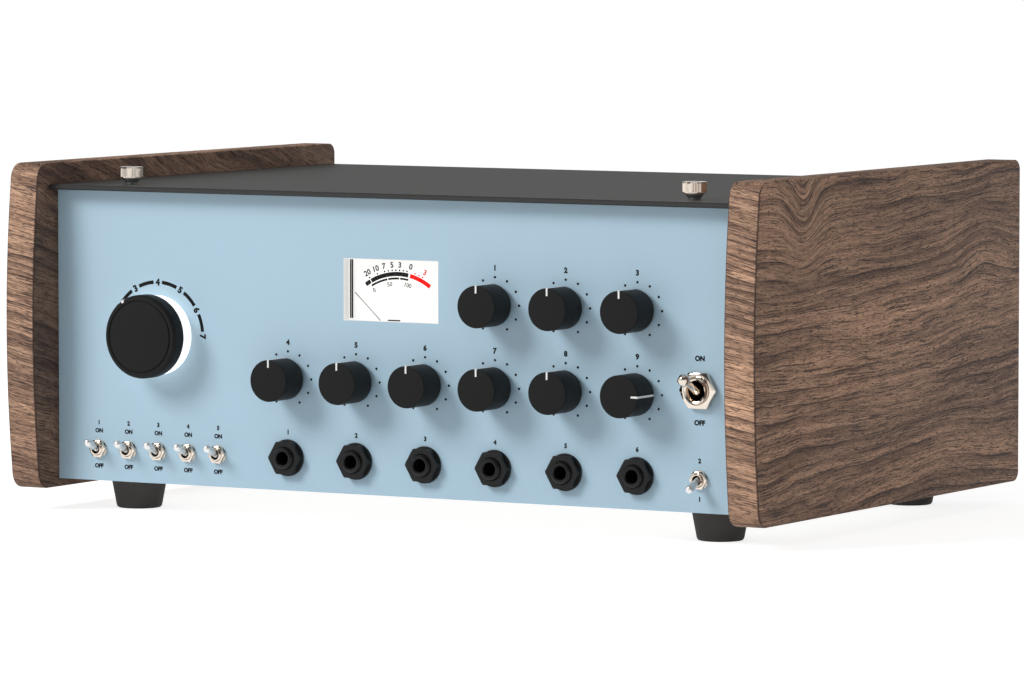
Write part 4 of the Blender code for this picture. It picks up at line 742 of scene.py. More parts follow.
class Repeat:
    """A Geometry Nodes tree with named inputs that ends in real meshes with a finish."""

    def __init__(self, name, inputs):
        self.tree = bpy.data.node_groups.new(name, 'GeometryNodeTree')
        face = self.tree.interface
        face.new_socket("Geometry", in_out='INPUT', socket_type='NodeSocketGeometry')
        face.new_socket("Geometry", in_out='OUTPUT', socket_type='NodeSocketGeometry')
        for label, value in inputs.items():
            kind = 'NodeSocketInt' if isinstance(value, int) else 'NodeSocketFloat'
            face.new_socket(label, in_out='INPUT', socket_type=kind).default_value = value
        self.values = inputs
        self.start = self.tree.nodes.new("NodeGroupInput")

    def node(self, kind, values=None, output=0, **settings):
        """A node's output; a value that is a string names one of the tree's inputs."""
        made = self.tree.nodes.new(kind)
        for key, value in settings.items():
            setattr(made, key, value)
        for key, value in (values or {}).items():
            if isinstance(value, str):
                value = self.start.outputs[value]
            if isinstance(value, bpy.types.NodeSocket):
                self.tree.links.new(value, made.inputs[key])
            else:
                made.inputs[key].default_value = value
        return made.outputs[output]

    def run(self, name, points, result, finish_name):
        """Set the tree on a cloud of points, and make the plain mesh that it gives part of the chassis."""
        real = self.node("GeometryNodeRealizeInstances", {0: result})
        coated = self.node("GeometryNodeSetMaterial", {0: real, "Material": finish_of(finish_name)})
        end = self.tree.nodes.new("NodeGroupOutput")
        self.tree.links.new(coated, end.inputs[0])
        cloud = bpy.data.meshes.new(name)
        cloud.from_pydata(points, [], [])
        item = in_scene(name, cloud)
        modifier = item.modifiers.new(name, 'NODES')
        modifier.node_group = self.tree
        sockets = {held.name: held.identifier for held in self.tree.interface.items_tree
                   if held.in_out == 'INPUT'}
        for label, value in self.values.items():
            modifier[sockets[label]] = value
        made = evaluated_mesh(item)
        item.modifiers.clear()
        item.data = smoothed(made)
        bpy.data.meshes.remove(cloud)
        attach(item, "chassis")


def screw_heads(name, points, turn, radius, tall=0.7):
    """Pan-head cross-recess screws at points, turned to face out of the sheet they hold."""
    repeat = Repeat(name, {"Head Radius": radius, "Head Height": radius * tall, "Slot Width": radius * 0.3})
    slot_depth = repeat.node("ShaderNodeMath", {0: "Head Height", 1: 0.5}, operation='MULTIPLY')
    slot_length = repeat.node("ShaderNodeMath", {0: "Head Radius", 1: 1.1}, operation='MULTIPLY')
    head_top = repeat.node("ShaderNodeCombineXYZ", {2: "Head Height"})
    head = repeat.node("GeometryNodeMeshCone", {
        "Vertices": 24, "Radius Top": radius * 0.72, "Radius Bottom": "Head Radius", "Depth": "Head Height"})
    for x, y in ((slot_length, "Slot Width"), ("Slot Width", slot_length)):
        size = repeat.node("ShaderNodeCombineXYZ", {0: x, 1: y, 2: slot_depth})
        bar = repeat.node("GeometryNodeMeshCube", {"Size": size})
        bar = repeat.node("GeometryNodeTransform", {0: bar, "Translation": head_top})
        head = repeat.node("GeometryNodeMeshBoolean", {0: head, 1: bar}, operation='DIFFERENCE')
    placed = repeat.node("GeometryNodeInstanceOnPoints", {0: "Geometry", "Instance": head, "Rotation": turn})
    repeat.run(name, points, placed, "nickel")


# Operators

class EchoOperator(bpy.types.Operator):
    bl_options = {'REGISTER', 'UNDO'}


class ECHO_OT_case(EchoOperator):
    """Finish the painted sheets and put their screws in"""
    bl_idname = "echo.case"
    bl_label = "Case sheets"

    def execute(self, context):
        dress(front_panel="blue_paint", top_cover="cover_paint", rear_panel="charcoal_paint",
              chassis_tray="zinc")
        low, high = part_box("rear_panel")
        inset, top_inset = mm(9, 25)
        points = [(x, high.y, z) for x in (low.x + inset, high.x - inset)
                  for z in (low.z + inset, high.z - top_inset)]
        screw_heads("rear_screws", points, (-math.pi / 2, 0, 0), mm(3))
        low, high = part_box("chassis_tray")
        points = [(x, y, low.z) for x in (low.x + mm(60), 0.0, high.x - mm(60))
                  for y in (low.y + mm(90), high.y - mm(40))]
        screw_heads("base_screws", points, (math.pi, 0, 0), mm(3), 0.2)
        return {'FINISHED'}


class ECHO_OT_cheeks(EchoOperator):
    """Shape the walnut cheeks"""
    bl_idname = "echo.cheeks"
    bl_label = "Wooden cheeks"

    def execute(self, context):
        for node, finish_name in (("left_cheek", "left_walnut"), ("right_cheek", "right_walnut")):
            low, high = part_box(node)
            board = slab(self.outline(low, high), high.x - low.x, mm(0.8))
            sideways = Matrix(((0, 0, 1, low.x), (1, 0, 0, 0), (0, 1, 0, 0), (0, 0, 0, 1)))
            Piece(node + "_board").add(finish_name, sideways, board).done("chassis", "walnut", node)
        return {'FINISHED'}

    def outline(self, low, high):
        """The cheek from its side: a bowed front edge between round corners."""
        front_corner, rear_corner, bow = mm(8, 5, 4.4)
        chord = high.z - low.z - 2 * front_corner
        bow_radius = (chord / 2) ** 2 / (2 * bow) + bow / 2
        bow_deg = math.degrees(math.asin(chord / 2 / bow_radius))
        front = low.y + bow + front_corner
        rear = high.y - rear_corner
        line = arc((rear, low.z + rear_corner), rear_corner, -90, 0, 10)
        line += arc((rear, high.z - rear_corner), rear_corner, 0, 90, 10)
        line += arc((front, high.z - front_corner), front_corner, 90, 180 - bow_deg, 12)
        line += arc((low.y + bow_radius, (low.z + high.z) / 2), bow_radius, 180 - bow_deg,
                    180 + bow_deg, 40)[1:-1]
        line += arc((front, low.z + front_corner), front_corner, 180 + bow_deg, 270, 12)
        return line


class ECHO_OT_printing(EchoOperator):
    """Print the panel: dots, dial scale, numbers, ON and OFF"""
    bl_idname = "echo.printing"
    bl_label = "Panel printing"

    def execute(self, context):
        depth = sizes().print_depth
        piece = Piece("panel_printing")
        self.labels(piece, depth)
        self.mode_scale(piece, depth)
        piece.done("chassis")
        self.dots(depth)
        return {'FINISHED'}

    def labels(self, piece, depth):
        """Plain numbers, and ON and OFF, each with its place and its share of the label height."""
        switch_x = PIVOTS["power_switch_lever"].x
        labels = [("ON", switch_x, CHEEK_FOOT + mm(75.8), 0.93), ("OFF", switch_x, CHEEK_FOOT + mm(46), 0.93),
                  ("2", switch_x, CHEEK_FOOT + mm(28.4), 0.85), ("1", switch_x, CHEEK_FOOT + mm(10.6), 0.85)]
        for number, knob in enumerate(SMALL_KNOBS, 1):
            labels.append((str(number), PIVOTS[knob].x, PIVOTS[knob].z + mm(17.4), 1.0))
        for number, jack in enumerate(JACKS, 1):
            labels.append((str(number), middle_of(jack).x, CHEEK_FOOT + mm(32.3), 0.85))
        for number, toggle in enumerate(UP_TOGGLES, 1):
            for text, z in (("ON", 28.6), ("OFF", 11.4), (str(number), 32.6)):
                labels.append((text, PIVOTS[toggle + "_lever"].x, CHEEK_FOOT + mm(z), 0.8))
        for text, x, z, share in labels:
            piece.add("ink", on_panel(x, z), words(text, sizes().label_height * share, depth))

    def mode_scale(self, piece, depth):
        """The broken arc round the mode knob with its numbers."""
        radius = mm(25.6)
        positions, step, gap = 7, 30, 5.4
        for number in range(1, positions + 1):
            angle = (number - 4) * step
            place = at_pivot("mode_knob", angle) @ Matrix.Translation((0, radius, 0))
            piece.add("ink", place, words(str(number), mm(3), depth))
            if number < positions:
                stroke = ring_part(radius, mm(1.75), angle + gap, angle + step - gap, depth)
                piece.add("ink", at_pivot("mode_knob"), stroke)

    def dots(self, depth):
        """Rings of dots round the small knobs, open at the bottom."""
        repeat = Repeat("knob_dots", {"Ring Radius": sizes().ring_radius, "Dot Radius": sizes().dot_radius,
                                      "Thickness": depth, "Places": 12})
        ring = repeat.node("GeometryNodeMeshCircle", {"Vertices": "Places", "Radius": "Ring Radius"})
        index = repeat.node("GeometryNodeInputIndex")
        bottom = repeat.node("FunctionNodeCompare", {2: index, 3: 9}, data_type='INT', operation='EQUAL')
        ring = repeat.node("GeometryNodeDeleteGeometry", {0: ring, 1: bottom}, domain='POINT')
        dot = repeat.node("GeometryNodeMeshCylinder", {
            "Vertices": 16, "Radius": "Dot Radius", "Depth": "Thickness"})
        around = repeat.node("GeometryNodeInstanceOnPoints", {0: ring, "Instance": dot})
        placed = repeat.node("GeometryNodeInstanceOnPoints", {
            0: "Geometry", "Instance": around, "Rotation": (math.pi / 2, 0, 0)})
        points = [(PIVOTS[knob].x, PANEL_FRONT - depth / 2, PIVOTS[knob].z) for knob in SMALL_KNOBS]
        repeat.run("knob_dots", points, placed, "ink")


class ECHO_OT_knobs(EchoOperator):
    """Turn the small knobs and inlay their lines"""
    bl_idname = "echo.knobs"
    bl_label = "Small knobs"

    def execute(self, context):
        radius, back, front, shaft, shaft_end = 10, 2.2, 18.2, 3, -10
        hollow = shaft * 1.3
        line = mm((0, front), (radius, front), (radius, back), (hollow, back), (hollow, back + 3),
                  (shaft, back + 3), (shaft, shaft_end), (0, shaft_end))
        body = turned(eased(line, mm(0.45), 4))
        middle = (front + back) / 2
        inlay = (block(mm(0.95, 3.7, 0.3), mm(0, radius - 1.8, front - 0.1), mm(0.06), 1),
                 block(mm(0.95, 0.3, front - back - 0.8), mm(0, radius - 0.09, middle), mm(0.06), 1))
        for knob in SMALL_KNOBS:
            turn = at_pivot(knob, 90 if knob == "echo_volume_knob" else 0)
            piece = Piece(knob + "_turned").add("knob_plastic", turn, body).add("white_inlay", turn, *inlay)
            piece.done(knob, "black_knob_plastic", knob)
        return {'FINISHED'}


class ECHO_OT_mode_knob(EchoOperator):
    """Turn the mode knob and its lit collar"""
    bl_idname = "echo.mode_knob"
    bl_label = "Mode knob and collar"

    def execute(self, context):
        radius, back, front, groove, shaft_end = 20.2, 8.5, 16.7, 17.2, -10
        line = mm((0, front), (groove - 0.3, front), (groove - 0.3, front - 0.6),
                  (groove + 0.35, front - 0.6), (groove + 0.35, front - 0.05), (radius - 1.1, front - 0.12),
                  (radius, front - 1.7), (radius, back), (3.6, back), (3, back - 0.5), (3, shaft_end),
                  (0, shaft_end))
        turn = at_pivot("mode_knob", -30)
        inlay = (block(mm(1.5, 2.0, 0.5), mm(0, radius - 1.2, front - 0.35), mm(0.12)),
                 block(mm(1.5, 0.4, 1.2), mm(0, radius - 0.14, front - 1.9), mm(0.1)))
        piece = Piece("mode_knob_turned").add("knob_plastic", turn, turned(eased(line, mm(0.2)), 128))
        piece.add("white_inlay", turn, *inlay).done("mode_knob", "black_knob_plastic", "mode_knob")
        low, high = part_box("mode_collar")
        bore, outer = mm(9.5, 19.3)
        collar = turned(tube(bore, outer, PANEL_FRONT - high.y, PANEL_FRONT - low.y), 128, True)
        middle = middle_of("mode_collar")
        Piece("mode_collar_ring").add("lit_collar", on_panel(middle.x, middle.z), collar).done(
            "chassis", "lit_white_plastic", "mode_collar")
        return {'FINISHED'}


class ECHO_OT_jacks(EchoOperator):
    """Shape the phone jacks"""
    bl_idname = "echo.jacks"
    bl_label = "Phone jacks"

    def execute(self, context):
        seat = PANEL_BACK
        nut = hex_nut(*mm(15.4, 1.2, 4.2, 5.0, 0.6), face=1.1)
        washer = turned(eased(mm(*tube(5, 8.85, 0.02, 1.2)), mm(0.3)), closed=True)
        barrel = mm((3.25, -20), (3.25, 5.6), (3.7, 6), (4.4, 6), (5.2, 5.2),
                    *thread(5.2, 0.2, 4.9, 0.7, 0.25), (5.2, seat - 1), (4.2, seat - 1), (4.2, -20))
        shell = carved(block(mm(16.5, 16.5, 24), mm(0, 0, seat - 12), mm(0.6)),
                       turned(mm((0, -1), (4.1, -1), (4.1, -20.2), (0, -20.2))))
        nylon = (nut, washer, turned(barrel, closed=True), shell)
        leaf = block(mm(1.2, 0.25, 9), mm(0, 2.9, -7), mm(0.1), 1)
        lugs = [block(mm(1.0, 0.4, 3.6), mm(x, y, seat - 25.5), mm(0.1), 1)
                for x in (-5, 5) for y in (-5, 0, 5)]
        for jack in JACKS:
            middle = middle_of(jack)
            turn = on_panel(middle.x, middle.z)
            piece = Piece(jack + "_shell").add("jack_nylon", turn, *nylon).add("nickel", turn, leaf, *lugs)
            piece.done("chassis", "jack_nylon", jack)
        return {'FINISHED'}


def fit_switch(name, plated, case, lever, lever_finish, throw_deg):
    """Put one switch's fitting on the panel and its lever on the pivot, thrown up or down."""
    body = name + "_lever"
    turn = at_pivot(body)
    Piece(name + "_fitting").add("nickel", turn, *plated).add("component_black", turn, case).done(
        "chassis", "nickel", name + "_body")
    tilted = Matrix.Translation(PIVOTS[body]) @ Matrix.Rotation(math.radians(throw_deg), 4, 'X') @ FACE_OUT
    Piece(name + "_bat").add(lever_finish, tilted, lever).done(body, "nickel", body)


class ECHO_OT_toggles(EchoOperator):
    """Shape the miniature toggle switches"""
    bl_idname = "echo.toggles"
    bl_label = "Miniature toggles"

    def execute(self, context):
        seat = PANEL_BACK
        nut = hex_nut(*mm(8, 0.5, 2.4, 2.8, 0.55))
        washer = turned(mm((2.8, 0.5), (4.3, 0.5), (4.4, 0.4), (4.4, 0.02), (2.8, 0.02)), closed=True)
        bushing = turned(mm((2.3, -1.7), (2.3, 3.3), (2.45, 3.5), (2.75, 3.5),
                            *thread(2.95, seat, 3.3, 0.5, 0.16), (0, seat), (0, -1.7)))
        plate = block(mm(8.1, 13.1, 1), mm(0, 0, seat - 0.5), mm(0.2))
        case = block(mm(8, 13, 9.5), mm(0, 0, seat - 5.7), mm(0.4))
        lugs = [block(mm(0.9, 2, 4), mm(0, y, seat - 12), mm(0.15), 1) for y in (-4.7, 0, 4.7)]
        tip, reach = 1.95, 10.5
        lever = turned(mm(*arc((0, reach - tip), tip, 90, 4, 8), (1.9, reach - 3.4), (1.7, 3.8), (1.3, 1.2),
                          (1.5, 0.8), (1.5, -0.6), (1.0, -1.4), (0, -1.4)), 40)
        for toggle in UP_TOGGLES + (DOWN_TOGGLE,):
            throw_deg = THROW_DEG if toggle == DOWN_TOGGLE else -THROW_DEG
            fit_switch(toggle, (nut, washer, bushing, plate, *lugs), case, lever, "satin_nickel", throw_deg)
        return {'FINISHED'}


class ECHO_OT_power_switch(EchoOperator):
    """Shape the power switch"""
    bl_idname = "echo.power_switch"
    bl_label = "Power switch"

    def execute(self, context):
        seat = PANEL_BACK
        nut = hex_nut(*mm(16.5, 1.0, 3.4, 5.8, 1.0))
        washer = turned(eased(mm(*tube(5.9, 8.1, 0.02, 1)), mm(0.2)), closed=True)
        bushing = turned(mm((3, 0.1), (3, 1.2), (4.9, 4.9), (5.6, 5.2),
                            *thread(6, seat, 4.8, 0.9, 0.3), (0, seat), (0, 0.1)))
        plate = block(mm(18, 30, 1.4), mm(0, 0, seat - 0.7), mm(0.3))
        case = block(mm(17.6, 29, 23), mm(0, 0, seat - 12.9), mm(0.8))
        lugs = [block(mm(6, 0.8, 7), mm(0, y, seat - 27), mm(0.2), 1) for y in (-9, 0, 9)]
        ball, reach = 3, 14.2
        lever = turned(mm(*arc((0, reach), ball, 90, -58, 16), (1.5, reach - 3.1), (1.5, 7), (1.9, 2.6),
                          (2.2, 1.2), (2.2, -0.8), (1.4, -2.2), (0, -2.2)), 56)
        fit_switch("power_switch", (nut, washer, bushing, plate, *lugs), case, lever, "nickel", -THROW_DEG)
        return {'FINISHED'}


class ECHO_OT_meter(EchoOperator):
    """Build the lit meter with its scale, needle and lens"""
    bl_idname = "echo.meter"
    bl_label = "Level meter"

    def execute(self, context):
        # The meter's case takes the white plastic's painted glow.
        dress(meter_case="white_plastic", meter_lens="clear_lens", meter_needle="needle_grey")
        low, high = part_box("meter_case")
        middle = (low + high) / 2
        wall, thin, behind_needle = mm(2.1, 0.3, 0.7)
        dial_y = PIVOTS["meter_needle"].y + behind_needle
        face = block((high.x - low.x - 2 * wall, thin, high.z - low.z - 2 * wall),
                     (middle.x, dial_y, middle.z))
        Piece("meter_dial").add("lit_dial", IN_PLACE, face).done("chassis", "meter_white_plastic")
        self.scale(dial_y - thin / 2)
        self.liner()
        return {'FINISHED'}

    def scale(self, front):
        """The dial's printing; its angles are clockwise from the top, about the needle's pivot."""
        pivot = PIVOTS["meter_needle"]
        centre = Matrix.Translation((pivot.x, front, pivot.z)) @ FACE_OUT
        depth = mm(0.03)
        piece = Piece("meter_scale")

        def put(finish_name, shape, angle=0.0, radius=0.0):
            turn = Matrix.Rotation(-math.radians(angle), 4, 'Z') @ Matrix.Translation((0, radius, 0))
            piece.add(finish_name, centre @ turn, shape)

        for start, end, finish_name in ((-34.5, -28.9, "ink"), (-28.0, 10.7, "ink"), (12.5, 35, "red_ink")):
            put(finish_name, ring_part(mm(31), mm(2), start, end, depth))
        for start, end in ((-29.8, -11.5), (-10.5, 1.5), (2.5, 11.5)):
            put("ink", ring_part(mm(28.9), mm(0.95), start, end, depth))
        dot = slab(arc((0, 0), mm(0.42), 0, 345, 23), depth)
        for angle in (-28.3, -20.1, -12.8, -9.1, -5.4, -1.9, 1.7, 5.3, 8.9):
            put("ink", dot, angle, mm(32.8))
        for angle in (16.7, 20.9, 24.6):
            put("red_ink", dot, angle, mm(32.8))
        for text, angle in (("20", -28.3), ("10", -19.8), ("7", -12.5), ("5", -5.3), ("3", 1.8), ("0", 11.7)):
            put("ink", words(text, mm(2.6), depth, 0.04), angle, mm(35.4))
        put("red_ink", words("3", mm(2.6), depth, 0.04), 24.9, mm(35.4))
        for text, angle in (("0", -29.4), ("50", -9.7), ("100", 12.4)):
            put("ink", words(text, mm(2), depth, 0.02), angle, mm(26.4))
        piece.done("chassis")

    def liner(self):
        """A white liner with a painted glow in the panel's cut-out, and dark strips of painted shade in the
        gap round the dial.
        """
        width, tall, thin, deep = mm(52.1, 29.6, 0.25, 2.2)
        middle = Vector((mm(-0.3), PANEL_FRONT, CHEEK_FOOT + mm(101.8)))
        piece = Piece("meter_liner")
        for side in (-1, 1):
            post = block((thin, deep, tall), middle + Vector((side * (width - thin) / 2, deep / 2, 0)))
            rail = block((width, deep, thin), middle + Vector((0, deep / 2, side * (tall - thin) / 2)))
            piece.add("white_plastic", IN_PLACE, post, rail)
        # Painted shade: dark strips where the gap round the dial lies in shade.
        for x, behind, wide in ((0.5, 5.6, 0.5), (1.5, 5.6, 0.75), (51.2, 2.6, 0.4)):
            spot = middle + Vector((mm(x) - width / 2, mm(behind), 0))
            piece.add("dark_liner", IN_PLACE, block((mm(wide), mm(0.4), tall - mm(1.6)), spot))
        tab = block(mm(6.6, 0.8, 0.6), middle + Vector((0, mm(3), mm(0.55) - tall / 2)), mm(0.15))
        piece.add("dark_liner", IN_PLACE, tab).done("chassis")


class ECHO_OT_thumbscrews(EchoOperator):
    """Knurl the two thumbscrews of the cover"""
    bl_idname = "echo.thumbscrews"
    bl_label = "Thumbscrews"

    def execute(self, context):
        radius, bottom, top, slot = mm(5.75, 3, 8.4, 1.6)
        head = carved(self.knurled(radius, bottom, top), block((slot, mm(14), slot), (0, 0, top)))
        neck = turned(eased(mm((0, 3.3), (4.5, 3.3), (4.4, 2.5), (3.0, 0.9), (2.9, 0.02), (2.1, 0.02),
                               (2.1, -1), (0, -1)), mm(0.25)))
        shank = turned(mm((0, 0.5), *thread(1.9, -7.6, 0.5, 0.7, 0.2), (1.5, -8), (0, -8)), 32)
        for body in ("thumbscrew_left", "thumbscrew_right"):
            place = upright(PIVOTS[body], COVER_TOP)
            piece = Piece(body + "_turned").add("nickel", place, head).add("steel", place, neck)
            piece.add("nickel", place, shank).done(body, "nickel", body)
        return {'FINISHED'}

    def knurled(self, radius, bottom, top):
        """A head whose side carries a straight knurl between two smooth rims."""
        count = 96
        chamfer, edge, rim, start = mm(0.3, 0.25, 0.5, 0.65)
        half = ((0, chamfer, 0), (edge, 0, 0), (rim, 0, 0), (start, 0, sizes().knurl_depth))
        rows = [(bottom + away, inset, groove) for away, inset, groove in half]
        rows += [(top - away, inset, groove) for away, inset, groove in reversed(half)]
        bm = bmesh.new()
        rings = []
        for height, inset, groove in rows:
            ring = []
            for index in range(count):
                angle = math.tau * index / count
                reach = radius - inset - groove * (index % 2)
                ring.append(bm.verts.new((reach * math.cos(angle), reach * math.sin(angle), height)))
            rings.append(ring)
        for below, above in zip(rings, rings[1:]):
            for index in range(count):
                after = (index + 1) % count
                bm.faces.new((below[index], below[after], above[after], above[index]))
        bm.faces.new(list(reversed(rings[0])))
        bm.faces.new(rings[-1])
        bmesh.ops.triangulate(bm, faces=[face for face in bm.faces if len(face.verts) == 4])
        bmesh.ops.recalc_face_normals(bm, faces=bm.faces)
        return settled(bm, 20)


class ECHO_OT_feet(EchoOperator):
    """Turn the rubber feet and put their screws in"""
    bl_idname = "echo.feet"
    bl_label = "Rubber feet"

    def execute(self, context):
        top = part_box(FEET[0])[1].z
        line = [(0, top), (mm(13.7), top), (mm(13.55), top - mm(1)),
                *mm((11.1, 0.9), (10.3, 0), (5.2, 0), (5.0, 3), (0, 3))]
        body = turned(eased(line, mm(0.6), 4))
        head = turned(eased(mm((0, 2.2), (3.4, 2.2), (3.6, 3.05), (0, 3.05)), mm(0.2)), 32)
        for foot in FEET:
            place = upright(middle_of(foot))
            piece = Piece(foot + "_turned").add("foot_rubber", place, body).add("zinc", place, head)
            piece.done("chassis", "black_rubber", foot)
        return {'FINISHED'}


class ECHO_OT_tape_deck(EchoOperator):
    """Finish the tape deck, its heads, capstan, roller, arm, motor and tape"""
    bl_idname = "echo.tape_deck"
    bl_label = "Tape deck"

    def execute(self, context):
        dress(tape_deck_plate="zinc", tape_loop="tape_film", drive_belt="belt_rubber", pinch_arm="steel",
              motor="steel", head_block="steel")
        self.capstan()
        self.roller()
        self.pulley()
        self.head_screws()
        return {'FINISHED'}

    def capstan(self):
        low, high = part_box("capstan_flywheel")
        shaft, hub, web, rim = mm(2.5, 8, 25, 32)
        web_top = low.z + mm(8)
        rim_top = low.z + mm(11)
        line = [(0, high.z), (shaft, high.z), (shaft, rim_top), (hub, rim_top), (hub, web_top),
                (web, web_top), (web, rim_top), (rim, rim_top), (rim, low.z), (0, low.z)]
        place = upright(PIVOTS["capstan_flywheel"])
        Piece("capstan_turned").add("brass", place, turned(eased(line, mm(0.3)), 96)).done(
            "capstan_flywheel", "turned_brass", "capstan_flywheel")

    def roller(self):
        low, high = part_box("pinch_roller")
        bore, core_radius = mm(2.3, 5)
        tyre = turned(eased(tube(core_radius, (high.x - low.x) / 2, low.z, high.z), mm(0.3)), closed=True)
        core = turned(tube(bore, core_radius, low.z, high.z), closed=True)
        place = upright(PIVOTS["pinch_roller"])
        Piece("pinch_roller_turned").add("belt_rubber", place, tyre).add("brass", place, core).done(
            "pinch_roller", "black_rubber", "pinch_roller")

    def pulley(self):
        low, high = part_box("motor_pulley")
        rim = (high.x - low.x) / 2
        bore, flange = mm(1.3, 1.2)
        groove = rim - flange
        line = [(rim, high.z), (rim, high.z - flange), (groove, high.z - flange), (groove, low.z + flange),
                (rim, low.z + flange), (rim, low.z), (bore, low.z), (bore, high.z)]
        place = upright(PIVOTS["motor_pulley"])
        Piece("motor_pulley_turned").add("brass", place, turned(line, closed=True)).done(
            "motor_pulley", "turned_brass", "motor_pulley")

    def head_screws(self):
        """The screws that hold the heads' plate."""
        low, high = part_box("head_block")
        points = [(x, high.y - mm(4), low.z + mm(2)) for x in (low.x + mm(5), high.x - mm(5))]
        screw_heads("head_screws", points, (0, 0, 0), mm(2.4))


class ECHO_OT_electronics(EchoOperator):
    """Finish the boards, the transformer and the spring tank"""
    bl_idname = "echo.electronics"
    bl_label = "Boards and transformer"

    def execute(self, context):
        dress(control_board="circuit_board", main_board="circuit_board", transformer="steel",
              reverb_tank="zinc")
        self.resistors()
        return {'FINISHED'}

    def resistors(self):
        """Small resistors in rows on the main board."""
        low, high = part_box("main_board")
        radius, tall, pitch, start = mm(1.2, 9.3, 6, 16)
        columns = 41
        repeat = Repeat("board_resistors", {"Body Radius": radius, "Body Length": mm(6), "Seed": 4})
        body = repeat.node("GeometryNodeMeshCylinder", {
            "Vertices": 12, "Radius": "Body Radius", "Depth": "Body Length"})
        body = repeat.node("GeometryNodeTransform", {0: body, "Rotation": (math.pi / 2, 0, 0)})
        keep = repeat.node("FunctionNodeRandomValue", {"Probability": 0.8, "Seed": "Seed"}, 3,
                           data_type='BOOLEAN')
        placed = repeat.node("GeometryNodeInstanceOnPoints", {
            0: "Geometry", "Instance": body, "Selection": keep})
        rows = (low.y + mm(10), low.y + mm(20), high.y - mm(20), high.y - mm(10))
        points = [(low.x + start + pitch * column, y, low.z + tall + radius)
                  for column in range(columns) for y in rows]
        repeat.run("board_resistors", points, placed, "resistor_tan")


class ECHO_OT_mains_inlet(EchoOperator):
    """Finish the mains inlet and put its screws in"""
    bl_idname = "echo.mains_inlet"
    bl_label = "Mains inlet"

    def execute(self, context):
        dress(mains_inlet="jack_nylon")
        low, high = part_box("mains_inlet")
        points = [(x, high.y, (low.z + high.z) / 2) for x in (low.x + mm(5), high.x - mm(5))]
        screw_heads("inlet_screws", points, (-math.pi / 2, 0, 0), mm(2.2))
        return {'FINISHED'}


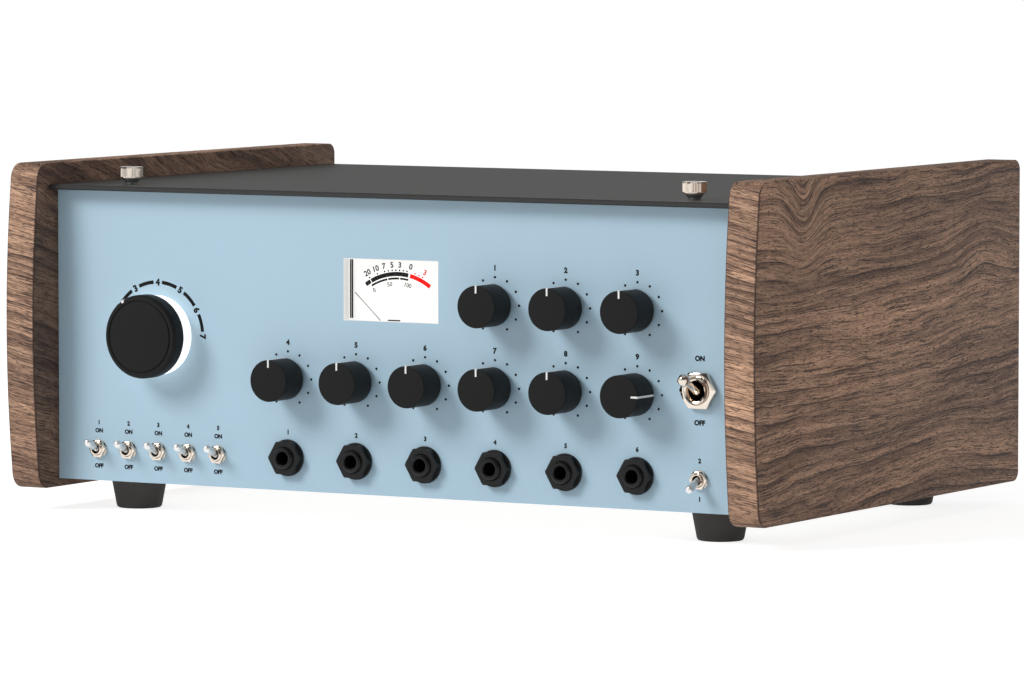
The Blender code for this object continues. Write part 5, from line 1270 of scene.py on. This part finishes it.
class ECHO_OT_stage(EchoOperator):
    """Set the floor, the lights and the camera"""
    bl_idname = "echo.stage"
    bl_label = "Stage"

    def execute(self, context):
        context.scene.view_settings.view_transform = 'Standard'
        self.floor()
        self.world(context.scene)
        self.lamp("key_light", (-1.7, -2.3, 2.1), 1.3, 72.0)
        self.lamp("fill_light", (2.6, 0.9, 1.3), 1.4, 15.0)
        self.camera(context.scene)
        return {'FINISHED'}

    def floor(self):
        """A white floor that shines back at the camera and in glossy pieces."""
        item = in_scene("floor", block((8, 8, 0.01), (0, 0, -0.005)))
        finish = Finish("floor_white", (0.9, 0.9, 0.9), 0.9)
        ray = finish.node("ShaderNodeLightPath").outputs
        seen = Num(finish, ray["Is Camera Ray"]) + ray["Is Glossy Ray"] + ray["Is Transmission Ray"]
        bright = finish.node("ShaderNodeEmission", {"Color": (1, 1, 1, 1), "Strength": 1.9})
        mixed = finish.node("ShaderNodeMixShader", {0: seen * 0.4, 1: finish.shader.outputs[0],
                                                    2: bright.outputs[0]})
        finish.feed(finish.tree.nodes["Material Output"].inputs["Surface"], mixed.outputs[0])
        item.data.materials.append(finish.material)

    def world(self, scene):
        """White behind the object, soft light all round, and dark and bright bands for the metal."""
        world = bpy.data.worlds.new("studio")
        sky = Shading(world)
        up = sky.axes(sky.node("ShaderNodeTexCoord").outputs["Generated"])[2]
        bright = 1.0 - up.step(0.2, 0.36) + up.step(0.7, 0.9) * 0.6
        reflected = sky.mix(bright, (0.05, 0.05, 0.05), (0.75, 0.75, 0.75))
        last = sky.node("ShaderNodeBackground", {"Color": (1, 1, 1, 1), "Strength": 0.42}).outputs[0]
        ray = sky.node("ShaderNodeLightPath").outputs
        for kind, shade in (("Is Glossy Ray", reflected), ("Is Camera Ray", (1, 1, 1, 1))):
            other = sky.node("ShaderNodeBackground", {"Color": shade, "Strength": 1.0}).outputs[0]
            last = sky.node("ShaderNodeMixShader", {0: ray[kind], 1: last, 2: other}).outputs[0]
        sky.feed(sky.tree.nodes["World Output"].inputs["Surface"], last)
        scene.world = world

    def lamp(self, name, place, size, power):
        """A square lamp that is aimed at the object's middle."""
        data = bpy.data.lights.new(name, 'AREA')
        data.shape = 'SQUARE'
        data.size = size
        data.energy = power
        item = in_scene(name, data)
        item.location = place
        aim = Vector((0, 0, 0.08)) - Vector(place)
        item.rotation_euler = aim.to_track_quat('-Z', 'Y').to_euler()

    def camera(self, scene):
        data = bpy.data.cameras.new("camera")
        data.sensor_width = 36
        data.lens = 226.83
        item = in_scene("camera", data)
        item.location = (1.55573, -2.73961, 0.30790)
        down_deg, turn_deg = 4.114, 29.628
        item.rotation_euler = (math.radians(90 - down_deg), 0, math.radians(turn_deg))
        scene.camera = item


OPERATORS = (ECHO_OT_case, ECHO_OT_cheeks, ECHO_OT_printing, ECHO_OT_knobs, ECHO_OT_mode_knob, ECHO_OT_jacks,
             ECHO_OT_toggles, ECHO_OT_power_switch, ECHO_OT_meter, ECHO_OT_thumbscrews, ECHO_OT_feet,
             ECHO_OT_tape_deck, ECHO_OT_electronics, ECHO_OT_mains_inlet, ECHO_OT_stage)


class ECHO_PT_sidebar(bpy.types.Panel):
    bl_label = "Tape echo unit"
    bl_space_type = 'VIEW_3D'
    bl_region_type = 'UI'
    bl_category = "Tape Echo"

    def draw(self, context):
        for group in (context.scene.echo_sizes, context.scene.echo_colours):
            for name in group.__annotations__:
                self.layout.prop(group, name)
        for operator in OPERATORS:
            self.layout.operator(operator.bl_idname)


CLASSES = (EchoSizes, EchoColours) + OPERATORS + (ECHO_PT_sidebar,)


def register():
    for item in CLASSES:
        bpy.utils.register_class(item)
    bpy.types.Scene.echo_sizes = PointerProperty(type=EchoSizes)
    bpy.types.Scene.echo_colours = PointerProperty(type=EchoColours)


def unregister():
    del bpy.types.Scene.echo_sizes
    del bpy.types.Scene.echo_colours
    for item in reversed(CLASSES):
        bpy.utils.unregister_class(item)


def main():
    register()
    for operator in OPERATORS:
        group, name = operator.bl_idname.split(".")
        getattr(getattr(bpy.ops, group), name)()


if __name__ == "__main__":
    main()
